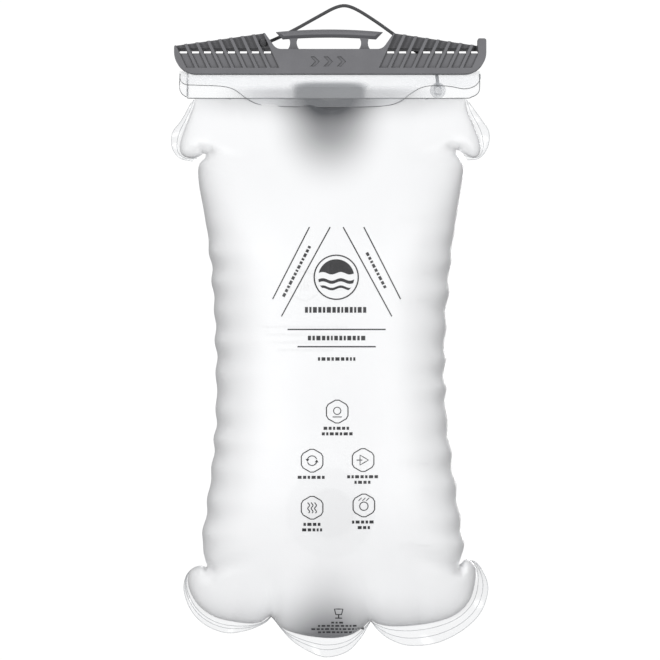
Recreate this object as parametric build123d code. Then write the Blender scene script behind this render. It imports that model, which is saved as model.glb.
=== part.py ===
from build123d import *
import math
import os

# Hydration bladder with a slide-off closure, hanging as in use.
# Frame: +Z up, the front faces -Y, +X to the right. The origin is the middle of
# the hanger slot, between the closure's rail and the bar of its handle.
# All sizes are in millimetres.

# ---------------------------------------------------------------- film and seams
FILM = 0.5                 # thickness of every film sheet
SEAM = 0.4                 # thickness of one film in the pressed weld flange

# ---------------------------------------------------------------- filled bag
BAG_TOP = -29.0            # where the frosted films meet the clear collar
BAG_LENGTH = 276.0         # from the collar to the end of the inside, in the bottom weld
BAG_WAIST = 60.6           # half width of the filled bag where it is narrowest
END_SEAL = 1.5             # how far the inside stops short of both ends
# Each station of the filled bag: how far below the collar on a bag of the last
# one's length, half width beyond the waist's, half depth.
STATIONS = (
    (0.0, 10.9, 0.9),
    (16.0, 14.4, 4.0),
    (33.0, 9.4, 10.0),
    (55.0, 6.2, 18.5),
    (77.0, 3.0, 26.0),
    (121.0, 0.2, 34.5),
    (167.0, 0.0, 37.0),
    (204.0, 2.8, 35.5),
    (233.0, 6.6, 29.0),
    (256.0, 8.4, 16.5),
    (276.0, -3.6, 1.2),
)
BAG_BOTTOM = BAG_TOP - BAG_LENGTH


def along_bag(depth):
    """Height of a place given by its depth on a bag of the stations' length."""
    return BAG_TOP - depth / STATIONS[-1][0] * BAG_LENGTH


# Right half of the weld flange from the collar to the bottom point, with the
# corner radius at each point: top ear, long side, bottom ear, side and middle lobe.
FLANGE_EDGE = (
    ((BAG_WAIST + 11.4, BAG_TOP), 0.5),
    ((BAG_WAIST + 12.9, BAG_TOP - 8.0), 3.0),
    ((BAG_WAIST + 23.2, BAG_TOP - 13.0), 5.0),
    ((BAG_WAIST + 23.2, BAG_TOP - 25.0), 4.0),
    ((BAG_WAIST + 12.9, BAG_TOP - 32.5), 3.0),
    ((BAG_WAIST + 9.9, BAG_TOP - 37.0), 3.0),
    ((BAG_WAIST + 3.6, along_bag(77.0)), 30.0),
    ((BAG_WAIST + 0.6, along_bag(123.0)), 60.0),
    ((BAG_WAIST + 0.8, along_bag(171.0)), 60.0),
    ((BAG_WAIST + 8.4, BAG_BOTTOM + 37.0), 4.0),
    ((BAG_WAIST + 6.4, BAG_BOTTOM + 28.0), 1.5),
    ((BAG_WAIST + 18.4, BAG_BOTTOM + 32.0), 4.0),
    ((BAG_WAIST + 23.4, BAG_BOTTOM + 13.0), 5.0),
    ((43.5, BAG_BOTTOM - 16.0), 5.0),
    ((22.5, BAG_BOTTOM - 3.5), 1.5),
    ((0.0, BAG_BOTTOM - 22.2), 5.0),
)

# ---------------------------------------------------------------- fold at the mouth
LIP_OVERHANG = 18.4        # how far the collar stands out past the waist, each side
LIP_HALF_WIDTH = BAG_WAIST + LIP_OVERHANG
FOLD_Y = -0.6              # middle plane of the folded stack
RAIL_THICK = 4.0
RAIL_TOP = -7.6
RAIL_BOTTOM = -13.0
NECK_Z = -14.9             # where the stack is narrow enough to leave the channel
STACK_GAP = 0.2            # air between the bag's throat and the hanging flap
FLAP_HINGE = -17.0         # below this the flap leans forward
FLAP_LEAN = 1.6
FLAP_EDGE = -22.6          # lower edge of the flap beside the grip tab
TAB_EDGE = -33.5           # lower edge of the grip tab
TAB_OUTER = (-57.0, 51.0)  # where the flap's edge starts to drop
TAB_INNER = (-37.0, 32.0)  # where it reaches the tab's lower edge

# ---------------------------------------------------------------- slide closure
SLIDE_CLEAR = 0.3          # air between the folded stack and the channel
WALL = 2.0                 # front and back walls of the channel
OPEN_END = 3.6             # closure past the collar at its open left end
CLOSED_END = 3.5           # and at its closed right end
CLOSURE_LEFT = -LIP_HALF_WIDTH - OPEN_END
CLOSURE_RIGHT = LIP_HALF_WIDTH + CLOSED_END
CLOSURE_BOTTOM = -16.3
RAIL_Z = -3.1              # top of the closure's middle rail
WING_PEAK = 5.4
WING_END = -1.3
TAB_TOP = 2.5              # raised end tab, the push grip on the closed end
TAB_WIDTH = 4.5
CORNER_R = 11.5            # big lower corners
POCKET_PITCH = 6.35
POCKET_WIDTH = 4.6
POCKET_LEAN = 25.0         # degrees from upright
POCKET_BOTTOM = -13.0
POCKET_FIRST = (-33.3, 32.0)   # innermost pockets, at the height of their slots
POCKET_MARGIN = 4.5        # from the outermost pocket's middle to the closure's end
SLOT_Z = -4.6              # middle of the see-through slots
SLOT_WIDTH = 3.7
SLOT_HEIGHT = 1.2
LOW_DEPTH = 1.2            # pocket depth over the channel
SLOT_DEPTH = 4.2           # pocket depth round the see-through slots
WING_WEB = 3.8             # what the pockets leave between them in the wings
SLOT_ZONE = (-5.6, -2.8)   # heights between which the pockets are deepest
MARKS = 3                  # sunk chevrons that point the way the closure slides off
MARK_PITCH = 7.0
MARK_Z = -9.8
MARK_HALF_HEIGHT = 2.6
MARK_STROKE = 2.2
MARK_DEPTH = 0.5

# ---------------------------------------------------------------- hanger handle
HANDLE_DEPTH = 7.0
HANDLE_CHAMFER = 1.4
POST_CENTRES = (-19.5, 18.1)
POST_WIDTH = 3.6
POST_FLARE = 1.2
BAR_LEFT = -28.8
BAR_RIGHT = 27.8
BAR_TOP_END = 6.0
BAR_TOP_MID = 7.4
BAR_LOW_END = 2.3
BAR_LOW_MID = 3.3
BAR_OVERHANG = 3.6         # how far the bar's underside stops short of its ends

# ---------------------------------------------------------------- tether
CORD_DIA = 1.8
CORD_CLEAR = 0.4
KNOT_R = 1.9
KNOT_FLAT = 1.4            # from the knot's middle to the flat the cord leaves from
ANCHOR_PATCH_R = 4.2
ANCHOR_PATCH = 0.8
ANCHOR_Z = -24.7
LUG_R = 2.0
LUG_LENGTH = 5.4
LUG_LEAN = 36.87           # degrees from upright, towards the back
# Route of the tether from the knot in the closure to the anchor on the collar.
# Its first point is the knot's flat and its last the face of the anchor's post.
CORD_ROUTE = (
    (-35.6, -2.6, 0.4),
    (-35.6, 7.4, 0.4),
    (-29.6, 9.4, 2.9),
    (-20.0, 8.2, 7.4),
    (-6.2, 7.2, 15.1),
    (4.4, 6.8, 20.9),
    (11.2, 7.0, 20.5),
    (22.4, 7.4, 13.7),
    (34.6, 7.8, 5.0),
    (47.0, 8.8, -4.4),
    (55.0, 10.4, -12.4),
    (57.0, 9.1, -15.8),
    (57.0, 4.6, -21.8),
)

# ---------------------------------------------------------------- port on the back
PORT_RISE = 55.0           # port's axis above the bottom of the bag's inside
PORT_Z = BAG_BOTTOM + PORT_RISE
PLUG_R = 5.0               # bore that seals on the tube's plug
PLUG_START = 2.0
PLUG_LENGTH = 9.0
COLLAR_R = PLUG_R + 2.2    # wider mouth for the plug's catch collar
POPPET_HEAD_R = PLUG_R + 1.2    # the poppet laps the bore's shoulder
SEAL_IN_R = PLUG_R + 0.3
CHAMBER_R = POPPET_HEAD_R + 0.8
TAIL_R = CHAMBER_R + 3.4
TAIL_CLEAR = 0.05
TAIL_DEPTH = 13.0
BOSS_R = TAIL_R + 2.6
BOSS_RISE = 1.5            # boss above the flange's highest point
BOSS_DEPTH = 11.0
PORT_FLANGE_R = BOSS_R + 11.0
PORT_FLANGE = 1.6
SEAT_ROOM = 0.8             # room round the gasket where the flange stands higher than the boss
FLANGE_REACH = 8.0          # the flange follows the bag this far above the boss's top and below its foot
FILM_HOLE_CLEAR = 0.2
GASKET = 0.8
HOUSING_FLANGE_R = BOSS_R + 0.5
HOUSING_FLANGE = 2.2
NECK_R = COLLAR_R + 2.3
HEAD_START = 9.0           # head of the housing, measured from the boss's top
HEAD_END = 20.5
HEAD_HALF_X = COLLAR_R + 4.8
HEAD_HALF_Z = COLLAR_R + 5.8
HEAD_CORNER = 3.0
RING_R = BOSS_R - 0.2
RING_THICK = 2.0

LATCH_THICK = 1.8
LATCH_HOLE_R = COLLAR_R + 0.2
LATCH_HALF_X = LATCH_HOLE_R + 1.6
LATCH_START = 13.1
LATCH_CLEAR = 0.1
LATCH_BELOW = LATCH_HOLE_R + 1.2
BUTTON_TRAVEL = 2.2
BUTTON_GAP = 2.5
BUTTON_HEIGHT = 5.0
BUTTON_HALF_X = LATCH_HALF_X - 1.0
BUTTON_START = 9.6
BUTTON_END = 20.0
BUTTON_ROUND = 1.5
BUTTON_SPRING_R = 1.1
BUTTON_SPRING_WIRE = 0.4
BUTTON_SPRING_Y = 17.6
BUTTON_SPRING_HOLE = 1.6
BUTTON_SPRING_DEPTH = 4.6

POPPET_TRAVEL = 3.0
POPPET_HEAD = 2.0
STEM_R = 1.5
STEM_CLEAR = 0.05
SEAL_THICK = 1.0
SEAT_GAP = 0.03
GUIDE_THICK = 1.6
GUIDE_HOLES = 4
GUIDE_HOLE_R = 1.4
GUIDE_HOLE_PCD = 8.6
STEM_TAIL = 1.5
POPPET_SPRING_R = 3.4
POPPET_SPRING_WIRE = 0.6
SPRING_TURNS = 5
SPRING_END_GAP = 0.15


# ---------------------------------------------------------------- worked-out values
# Height, half width and half depth of the filled bag at each station.
BAG_STATIONS = tuple((along_bag(depth), BAG_WAIST + wider, deep) for depth, wider, deep in STATIONS)


def half_depth_at(height):
    """Half depth of the filled bag at a height, between its stations."""
    for (z0, _, d0), (z1, _, d1) in zip(BAG_STATIONS, BAG_STATIONS[1:]):
        if z1 <= height <= z0:
            return d0 + (d1 - d0) * (height - z0) / (z1 - z0)
    raise ValueError("height outside the bag")


RAIL_BACK = FOLD_Y + RAIL_THICK / 2
RAIL_FRONT = FOLD_Y - RAIL_THICK / 2
CAVITY_HALF = RAIL_THICK / 2 + 2 * FILM + SLIDE_CLEAR
CAVITY_TOP = RAIL_TOP + 2 * FILM + SLIDE_CLEAR
NECK_FRONT = -FILM - STACK_GAP - 2 * FILM - SLIDE_CLEAR
NECK_BACK = FILM + SLIDE_CLEAR
CLOSURE_FRONT = FOLD_Y - CAVITY_HALF - WALL
CLOSURE_BACK = FOLD_Y + CAVITY_HALF + WALL
HIGH_DEPTH = (CLOSURE_BACK - CLOSURE_FRONT - WING_WEB) / 2
BOSS_TOP = half_depth_at(PORT_Z) + PORT_FLANGE + BOSS_RISE
MID_LEAN = 45.0            # the stack widens from the neck to the rail at this angle


# ---------------------------------------------------------------- bag
def half_oval(height, half_width, half_depth):
    """Front half of the bag's cross-section at one height, as a face."""
    curve = EllipticalCenterArc((0, 0), half_width, half_depth, start_angle=180, arc_size=180)
    seam = Line((-half_width, 0), (half_width, 0))
    return Pos(0, 0, height) * make_face([curve.edge(), seam.edge()])


def front_half(growth, end_seal=0.0):
    """Front half of the filled bag, its surface moved out by growth."""
    faces = []
    for height, half_width, half_depth in BAG_STATIONS:
        if height == BAG_TOP:
            height -= end_seal
        if height == BAG_BOTTOM:
            height += end_seal
        faces.append(half_oval(height, half_width + growth, half_depth + growth))
    return loft(faces)


def flange_sheet():
    """Flat weld flange of one film, on the front side of the seam plane."""
    right = [point for point, _ in FLANGE_EDGE]
    radii = [radius for _, radius in FLANGE_EDGE]
    left = [(-x, z) for x, z in reversed(right[:-1])]
    points = right + left
    corners = radii + radii[-2::-1]
    outline = FilletPolyline(*points, radius=corners, close=True)
    return extrude(Plane.XZ * make_face(outline.edges()), SEAM)


def front_panel():
    """Front film: half of the filled bag and its half of the flange."""
    return front_half(0) + flange_sheet() - front_half(-FILM, END_SEAL)


def port_plane(distance):
    """Plane across the port's axis, at a distance outwards from the boss's top."""
    return Plane(origin=(0, BOSS_TOP + distance, PORT_Z), x_dir=(1, 0, 0), z_dir=(0, 1, 0))


def along_port(radius, start, end):
    """Cylinder on the port's axis, between two distances from the boss's top."""
    return extrude(port_plane(start) * Circle(radius), end - start)


def back_panel(front):
    """Back film: the front one mirrored, with a hole for the port's boss."""
    hole = along_port(BOSS_R + FILM_HOLE_CLEAR, -BOSS_DEPTH, BOSS_RISE)
    return mirror(front, Plane.XZ) - hole


# ---------------------------------------------------------------- fold and lips
def fold_side(lift):
    """Outline of the folded stack at a distance outside its innermost face."""
    corner = lift * math.tan(math.radians(MID_LEAN / 2))
    arc_z = RAIL_TOP - RAIL_THICK / 2
    throat = -FILM + lift
    flap = -FILM - STACK_GAP - lift
    up = [
        (throat, BAG_TOP),
        (throat, NECK_Z - corner),
        (RAIL_BACK + lift, RAIL_BOTTOM - corner),
        (RAIL_BACK + lift, arc_z),
    ]
    top = (FOLD_Y, RAIL_TOP + lift)
    down = [
        (RAIL_FRONT - lift, arc_z),
        (RAIL_FRONT - lift, RAIL_BOTTOM - corner),
        (flap, NECK_Z - corner),
        (flap, FLAP_HINGE),
        (flap - FLAP_LEAN, TAB_EDGE),
    ]
    return up, top, down


def fold_edges(lift):
    """The outline of fold_side as edges: up the back, over the rail, down the front."""
    up, top, down = fold_side(lift)
    arc = ThreePointArc(up[-1], top, down[0])
    return [*Polyline(*up).edges(), arc.edge(), *Polyline(*down).edges()]


def flap_cutter(outer_x, inner_x, far_x):
    """What is cut off the flap beside the grip tab, with an S-shaped edge."""
    middle_x = (outer_x + inner_x) / 2
    below = TAB_EDGE - 5
    with BuildLine() as edge:
        Line((far_x, FLAP_EDGE), (outer_x, FLAP_EDGE))
        Bezier((outer_x, FLAP_EDGE), (middle_x, FLAP_EDGE), (middle_x, TAB_EDGE), (inner_x, TAB_EDGE))
        Polyline((inner_x, TAB_EDGE), (inner_x, below), (far_x, below), (far_x, FLAP_EDGE))
    front = Plane.XZ.offset(FILM + STACK_GAP / 2)
    return extrude(front * make_face(edge.edges()), 20)


def mouth_lip(inner_lift):
    """One film of the clear collar, folded over the rail to the front."""
    inner = fold_side(inner_lift)
    outer = fold_side(inner_lift + FILM)
    ends = [
        Line(inner[0][0], outer[0][0]),
        Line(inner[2][-1], outer[2][-1]),
    ]
    outline = fold_edges(inner_lift) + fold_edges(inner_lift + FILM) + [end.edge() for end in ends]
    lip = extrude(Plane.YZ * make_face(outline), LIP_HALF_WIDTH, both=True)
    for outer_x, inner_x in zip(TAB_OUTER, TAB_INNER):
        far_x = math.copysign(LIP_HALF_WIDTH + 5, outer_x)
        lip -= flap_cutter(outer_x, inner_x, far_x)
    return lip


def fold_rail():
    """Stiff strip inside the fold, that the closure's channel holds."""
    shoulder = RAIL_TOP - RAIL_THICK / 2
    sides = Polyline(
        (RAIL_BACK, shoulder), (RAIL_BACK, RAIL_BOTTOM), (RAIL_FRONT, RAIL_BOTTOM), (RAIL_FRONT, shoulder)
    )
    crown = ThreePointArc((RAIL_BACK, shoulder), (FOLD_Y, RAIL_TOP), (RAIL_FRONT, shoulder))
    return extrude(Plane.YZ * make_face([*sides.edges(), crown.edge()]), LIP_HALF_WIDTH, both=True)


# ---------------------------------------------------------------- slide closure
def closure_outline():
    """Closure seen from the front: rail, two wings, end tab and round corners."""
    tab_left = CLOSURE_RIGHT - TAB_WIDTH
    corners = (
        ((CLOSURE_LEFT, WING_END), 0.8),
        ((-34.6, WING_PEAK), 0.8),
        ((-28.6, RAIL_Z), 5.0),
        ((27.6, RAIL_Z), 5.0),
        ((33.6, WING_PEAK), 0.8),
        ((tab_left, WING_END), 0.6),
        ((tab_left, TAB_TOP), 0.8),
        ((CLOSURE_RIGHT, TAB_TOP), 1.2),
        ((CLOSURE_RIGHT, CLOSURE_BOTTOM), CORNER_R),
        ((CLOSURE_LEFT, CLOSURE_BOTTOM), CORNER_R),
    )
    outline = FilletPolyline(*[p for p, _ in corners], radius=[r for _, r in corners], close=True)
    return make_face(outline.edges())


def channel_cutter():
    """Space for the fold: a wide cavity with a narrow neck below it."""
    points = (
        (FOLD_Y - CAVITY_HALF, CAVITY_TOP),
        (FOLD_Y + CAVITY_HALF, CAVITY_TOP),
        (FOLD_Y + CAVITY_HALF, RAIL_BOTTOM - SLIDE_CLEAR),
        (NECK_BACK, NECK_Z - SLIDE_CLEAR),
        (NECK_BACK, CLOSURE_BOTTOM - 1),
        (NECK_FRONT, CLOSURE_BOTTOM - 1),
        (NECK_FRONT, NECK_Z - SLIDE_CLEAR),
        (FOLD_Y - CAVITY_HALF, RAIL_BOTTOM - SLIDE_CLEAR),
    )
    left = CLOSURE_LEFT - 1
    right = LIP_HALF_WIDTH + SLIDE_CLEAR
    start = Plane(origin=(left, 0, 0), x_dir=(0, 1, 0), z_dir=(1, 0, 0))
    return extrude(start * make_face(Polyline(*points, close=True).edges()), right - left)


def pocket_positions():
    """Middle of each pocket at the height of its slot, and the side it leans to."""
    for side, first in zip((-1, 1), POCKET_FIRST):
        end = CLOSURE_LEFT if side < 0 else CLOSURE_RIGHT
        room = abs(end) - POCKET_MARGIN - abs(first)
        for number in range(math.floor(room / POCKET_PITCH) + 1):
            yield first + side * number * POCKET_PITCH, side


def pockets(low, high):
    """All pockets between two heights, as faces seen from the front."""
    slope = math.tan(math.radians(POCKET_LEAN))
    faces = []
    for x, side in pocket_positions():
        low_x = x + side * (low - SLOT_Z) * slope
        high_x = x + side * (high - SLOT_Z) * slope
        half = POCKET_WIDTH / 2
        corners = ((low_x - half, low), (low_x + half, low), (high_x + half, high), (high_x - half, high))
        faces.append(make_face(Polyline(*corners, close=True).edges()))
    return faces


def cut_from_both_sides(solid, faces, depth):
    """Cuts the same pockets into the front and the back of the closure."""
    front = Plane.XZ.offset(-CLOSURE_FRONT)
    back = Plane.XZ.offset(-CLOSURE_BACK)
    solid -= [extrude(front * face, -depth) for face in faces]
    solid -= [extrude(back * face, depth) for face in faces]
    return solid


def direction_marks():
    """Chevrons in the middle of the closure, as faces seen from the front."""
    faces = []
    for number in range(MARKS):
        x = (number - MARKS / 2) * MARK_PITCH
        tip = x + MARK_HALF_HEIGHT
        top = MARK_Z + MARK_HALF_HEIGHT
        low = MARK_Z - MARK_HALF_HEIGHT
        outer = ((x + MARK_STROKE, top), (tip + MARK_STROKE, MARK_Z), (x + MARK_STROKE, low))
        inner = ((x, low), (tip, MARK_Z), (x, top))
        faces.append(make_face(Polyline(*outer, *inner, close=True).edges()))
    return faces


def slide_closure():
    """The slide-off closure: a C-channel with two pocketed wings."""
    front = Plane.XZ.offset(-CLOSURE_FRONT)
    body = extrude(front * closure_outline(), CLOSURE_FRONT - CLOSURE_BACK)
    tab_zone = Pos(CLOSURE_RIGHT, 0) * Rectangle(2 * TAB_WIDTH, 10 * TAB_TOP)
    end_tab = extrude(front * (closure_outline() & tab_zone), CLOSURE_FRONT - CLOSURE_BACK)
    body = cut_from_both_sides(body, pockets(POCKET_BOTTOM, SLOT_ZONE[0]), LOW_DEPTH)
    body = cut_from_both_sides(body, pockets(*SLOT_ZONE), SLOT_DEPTH)
    body = cut_from_both_sides(body, pockets(SLOT_ZONE[1], WING_PEAK + 1), HIGH_DEPTH)
    body += end_tab
    body -= channel_cutter()
    body -= [extrude(front * mark, -MARK_DEPTH) for mark in direction_marks()]
    slots = [Pos(x, SLOT_Z) * Rectangle(SLOT_WIDTH, SLOT_HEIGHT) for x, _ in pocket_positions()]
    body -= [extrude(front * slot, CLOSURE_FRONT - CLOSURE_BACK) for slot in slots]
    hole = Pos(CORD_ROUTE[0][0], CORD_ROUTE[0][2]) * Circle(CORD_DIA / 2 + CORD_CLEAR)
    return body - extrude(front * hole, CLOSURE_FRONT - CLOSURE_BACK)


def handle_bar():
    """Arched bar, seen from the front, with slanted ends."""
    left_low = BAR_LEFT + BAR_OVERHANG
    right_low = BAR_RIGHT - BAR_OVERHANG
    middle = (BAR_LEFT + BAR_RIGHT) / 2
    top = ThreePointArc((BAR_LEFT, BAR_TOP_END), (middle, BAR_TOP_MID), (BAR_RIGHT, BAR_TOP_END))
    low = ThreePointArc((left_low, BAR_LOW_END), (middle, BAR_LOW_MID), (right_low, BAR_LOW_END))
    left_end = Line((BAR_LEFT, BAR_TOP_END), (left_low, BAR_LOW_END))
    right_end = Line((BAR_RIGHT, BAR_TOP_END), (right_low, BAR_LOW_END))
    return make_face([top.edge(), low.edge(), left_end.edge(), right_end.edge()])


def handle_post(centre):
    """Post with flared foot and head, from the rail up into the bar."""
    head = BAR_LOW_MID + 0.5
    waist = (RAIL_Z + head) / 2
    wide = POST_WIDTH / 2 + POST_FLARE
    slim = POST_WIDTH / 2
    left = ThreePointArc((centre - wide, RAIL_Z), (centre - slim, waist), (centre - wide, head))
    right = ThreePointArc((centre + wide, RAIL_Z), (centre + slim, waist), (centre + wide, head))
    foot = Line((centre - wide, RAIL_Z), (centre + wide, RAIL_Z))
    top = Line((centre - wide, head), (centre + wide, head))
    return make_face([left.edge(), right.edge(), foot.edge(), top.edge()])


def hanger_handle():
    """Bar on two posts above the closure's rail; a hook goes through below it."""
    middle = Plane.XZ.offset(-FOLD_Y)
    bar = extrude(middle * handle_bar(), HANDLE_DEPTH / 2, both=True)
    faces = bar.faces().sort_by(Axis.Y)
    bar = chamfer(faces[0].edges() + faces[-1].edges(), HANDLE_CHAMFER)
    post_half = HANDLE_DEPTH / 2 - HANDLE_CHAMFER
    posts = [extrude(middle * handle_post(centre), post_half, both=True) for centre in POST_CENTRES]
    return bar + posts


# ---------------------------------------------------------------- tether
def cord_radii():
    """Arc at each corner of the route: 0.45 of the shorter run, over the turn."""
    points = [Vector(*p) for p in CORD_ROUTE]
    radii = []
    for before, here, after in zip(points, points[1:], points[2:]):
        run_in = here - before
        run_out = after - here
        turn = math.radians(run_in.get_angle(run_out))
        radii.append(0.45 * min(run_in.length, run_out.length) / math.tan(turn / 2))
    return radii


def tether_cord():
    """Round cord along its route, as straight runs joined by tangent arcs."""
    radii = cord_radii()
    path = FilletPolyline(*CORD_ROUTE, radius=radii)
    start = Plane(origin=CORD_ROUTE[0], z_dir=path.tangent_at(0))
    tube = sweep(start * Circle(CORD_DIA / 2), path=path.wire())
    section = math.pi * CORD_DIA**2 / 4
    print("tether length", round(path.length, 1), "radii", [round(r, 1) for r in radii])
    print("tether volume", round(tube.volume, 1), "section x length", round(section * path.length, 1))
    return tube


def tether_knot():
    """Stopper knot in the closure's innermost left pocket, flat at the cord."""
    x, y, z = CORD_ROUTE[0]
    ball = Pos(x, y - KNOT_FLAT, z) * Sphere(KNOT_R)
    beyond = Pos(x, y + KNOT_R, z) * Box(3 * KNOT_R, 2 * KNOT_R, 3 * KNOT_R)
    return ball - beyond


def tether_anchor():
    """Patch with a leaning lug, welded to the back of the collar for the cord's end."""
    x, y, z = CORD_ROUTE[-1]
    base = Plane(origin=(x, FILM, ANCHOR_Z), x_dir=(1, 0, 0), z_dir=(0, 1, 0))
    patch = extrude(base * Circle(ANCHOR_PATCH_R), ANCHOR_PATCH)
    lean = math.radians(LUG_LEAN)
    end = Plane(origin=(x, y, z), x_dir=(1, 0, 0), z_dir=(0, math.sin(lean), math.cos(lean)))
    lug = extrude(end * Circle(LUG_R), -LUG_LENGTH)
    inside_collar = Pos(x, FILM - LUG_LENGTH, z) * Box(4 * LUG_R, 2 * LUG_LENGTH, 4 * LUG_LENGTH)
    return patch + (lug - inside_collar)


# ---------------------------------------------------------------- port
def port_flange(front):
    """Flange welded on the back film, with the boss that holds the housing."""
    skin = mirror(front_half(PORT_FLANGE), Plane.XZ) - mirror(front, Plane.XZ)
    rim = skin & along_port(PORT_FLANGE_R, -BOSS_DEPTH - FLANGE_REACH, FLANGE_REACH)
    rim = rim - along_port(BOSS_R + SEAT_ROOM, 0, FLANGE_REACH)
    boss = along_port(BOSS_R, -BOSS_DEPTH, 0)
    return rim + boss - along_port(TAIL_R + TAIL_CLEAR, -BOSS_DEPTH - 1, 1)


def housing_gasket():
    """Flat ring between the boss and the housing's flange."""
    return along_port(BOSS_R, 0, GASKET) - along_port(TAIL_R + TAIL_CLEAR, 0, GASKET)


def retaining_ring():
    """Ring nut on the housing's tail, inside the bag, under the boss."""
    start = -BOSS_DEPTH - RING_THICK
    ring = along_port(RING_R, start, -BOSS_DEPTH)
    return ring - along_port(TAIL_R + TAIL_CLEAR, start - 1, -BOSS_DEPTH + 1)


def head_block():
    """Square head of the housing with rounded edges, before its bores."""
    outline = RectangleRounded(2 * HEAD_HALF_X, 2 * HEAD_HALF_Z, HEAD_CORNER)
    return extrude(port_plane(HEAD_START) * outline, HEAD_END - HEAD_START)


def port_box(half_x, start, end, low, high):
    """Box in the port's own frame: distances from the boss's top and its axis."""
    centre = Pos(0, BOSS_TOP + (start + end) / 2, PORT_Z + (low + high) / 2)
    return centre * Box(2 * half_x, end - start, high - low)


def port_housing():
    """Quick-release socket: tail, flange, neck and head, bored for the plug."""
    plug_end = PLUG_START + PLUG_LENGTH
    body = along_port(TAIL_R, -TAIL_DEPTH, GASKET)
    body += along_port(HOUSING_FLANGE_R, GASKET, GASKET + HOUSING_FLANGE)
    body += along_port(NECK_R, GASKET + HOUSING_FLANGE, HEAD_START)
    body += head_block()
    body -= along_port(CHAMBER_R, -TAIL_DEPTH - 1, PLUG_START)
    body -= along_port(PLUG_R, PLUG_START - 1, plug_end + 1)
    body -= along_port(COLLAR_R, plug_end, HEAD_END + 1)
    slot_low = -LATCH_BELOW - BUTTON_TRAVEL - 3 * LATCH_CLEAR
    slot_start = LATCH_START - LATCH_CLEAR
    slot_end = LATCH_START + LATCH_THICK + LATCH_CLEAR
    body -= port_box(LATCH_HALF_X + LATCH_CLEAR, slot_start, slot_end, slot_low, HEAD_HALF_Z + 1)
    spring_plane = Plane(origin=(0, BOSS_TOP + BUTTON_SPRING_Y, PORT_Z + HEAD_HALF_Z - BUTTON_SPRING_DEPTH))
    return body - extrude(spring_plane * Circle(BUTTON_SPRING_HOLE), BUTTON_SPRING_DEPTH + 1)


def latch_plate():
    """Plate whose hole catches the plug's collar until the button is pressed."""
    top = HEAD_HALF_Z + BUTTON_GAP
    plate = port_box(LATCH_HALF_X, LATCH_START, LATCH_START + LATCH_THICK, -LATCH_BELOW, top)
    hole = Pos(0, 0, BUTTON_TRAVEL) * along_port(LATCH_HOLE_R, LATCH_START - 1, LATCH_START + LATCH_THICK + 1)
    return plate - hole


def release_button():
    """Thumb button on top of the head, joined to the latch plate."""
    low = HEAD_HALF_Z + BUTTON_GAP
    cap = port_box(BUTTON_HALF_X, BUTTON_START, BUTTON_END, low, low + BUTTON_HEIGHT)
    return fillet(cap.edges().group_by(Axis.Z)[-1] + cap.edges().filter_by(Axis.Z), BUTTON_ROUND)


def coil_spring(radius, wire, length):
    """Coil spring standing on the XY plane, its wire inside its length."""
    turns_height = length - wire
    path = Helix(pitch=turns_height / SPRING_TURNS, height=turns_height, radius=radius)
    section = Plane(origin=path @ 0, z_dir=path % 0) * Circle(wire / 2)
    return Pos(0, 0, wire / 2) * sweep(section, path=path, is_frenet=True)


def button_spring():
    """Return spring between the head's blind hole and the button."""
    length = BUTTON_SPRING_DEPTH + BUTTON_GAP - 2 * SPRING_END_GAP
    low = PORT_Z + HEAD_HALF_Z - BUTTON_SPRING_DEPTH + SPRING_END_GAP
    return Pos(0, BOSS_TOP + BUTTON_SPRING_Y, low) * coil_spring(BUTTON_SPRING_R, BUTTON_SPRING_WIRE, length)


HEAD_TOP = PLUG_START - SEAT_GAP - SEAL_THICK
HEAD_BASE = HEAD_TOP - POPPET_HEAD
GUIDE_TOP = -TAIL_DEPTH + GUIDE_THICK


def poppet():
    """Shut-off poppet: a head under the bore's shoulder on a guided stem."""
    head = along_port(POPPET_HEAD_R, HEAD_BASE, HEAD_TOP)
    return head + along_port(STEM_R, -TAIL_DEPTH - STEM_TAIL, HEAD_BASE)


def poppet_seal():
    """Flat ring on the poppet's head, that shuts against the bore's shoulder."""
    ring = along_port(POPPET_HEAD_R, HEAD_TOP, HEAD_TOP + SEAL_THICK)
    return ring - along_port(SEAL_IN_R, HEAD_TOP, HEAD_TOP + SEAL_THICK)


def poppet_guide():
    """Spider pressed into the tail, with flow holes round the stem's hole."""
    disc = along_port(CHAMBER_R, -TAIL_DEPTH, GUIDE_TOP)
    disc -= along_port(STEM_R + STEM_CLEAR, -TAIL_DEPTH - 1, GUIDE_TOP + 1)
    for number in range(GUIDE_HOLES):
        angle = math.radians(45 + number * 360 / GUIDE_HOLES)
        shift = Pos(GUIDE_HOLE_PCD / 2 * math.cos(angle), 0, GUIDE_HOLE_PCD / 2 * math.sin(angle))
        disc -= shift * along_port(GUIDE_HOLE_R, -TAIL_DEPTH - 1, GUIDE_TOP + 1)
    return disc


def poppet_spring():
    """Spring that pushes the poppet shut, standing on the guide."""
    length = HEAD_BASE - GUIDE_TOP - 2 * SPRING_END_GAP
    coil = coil_spring(POPPET_SPRING_R, POPPET_SPRING_WIRE, length)
    return port_plane(GUIDE_TOP + SPRING_END_GAP) * coil


def build():
    """Every node of the bladder, by name."""
    front = front_panel()
    return {
        "front_panel": front,
        "back_panel": back_panel(front),
        "front_mouth_lip": mouth_lip(0.0),
        "back_mouth_lip": mouth_lip(FILM),
        "fold_rail": fold_rail(),
        "slide_closure": slide_closure(),
        "hanger_handle": hanger_handle(),
        "tether_cord": tether_cord(),
        "tether_knot": tether_knot(),
        "tether_anchor": tether_anchor(),
        "port_flange": port_flange(front_half(0)),
        "port_housing": port_housing(),
        "housing_gasket": housing_gasket(),
        "retaining_ring": retaining_ring(),
        "latch_plate": latch_plate(),
        "release_button": release_button(),
        "button_spring": button_spring(),
        "poppet": poppet(),
        "poppet_seal": poppet_seal(),
        "poppet_guide": poppet_guide(),
        "poppet_spring": poppet_spring(),
    }


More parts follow.
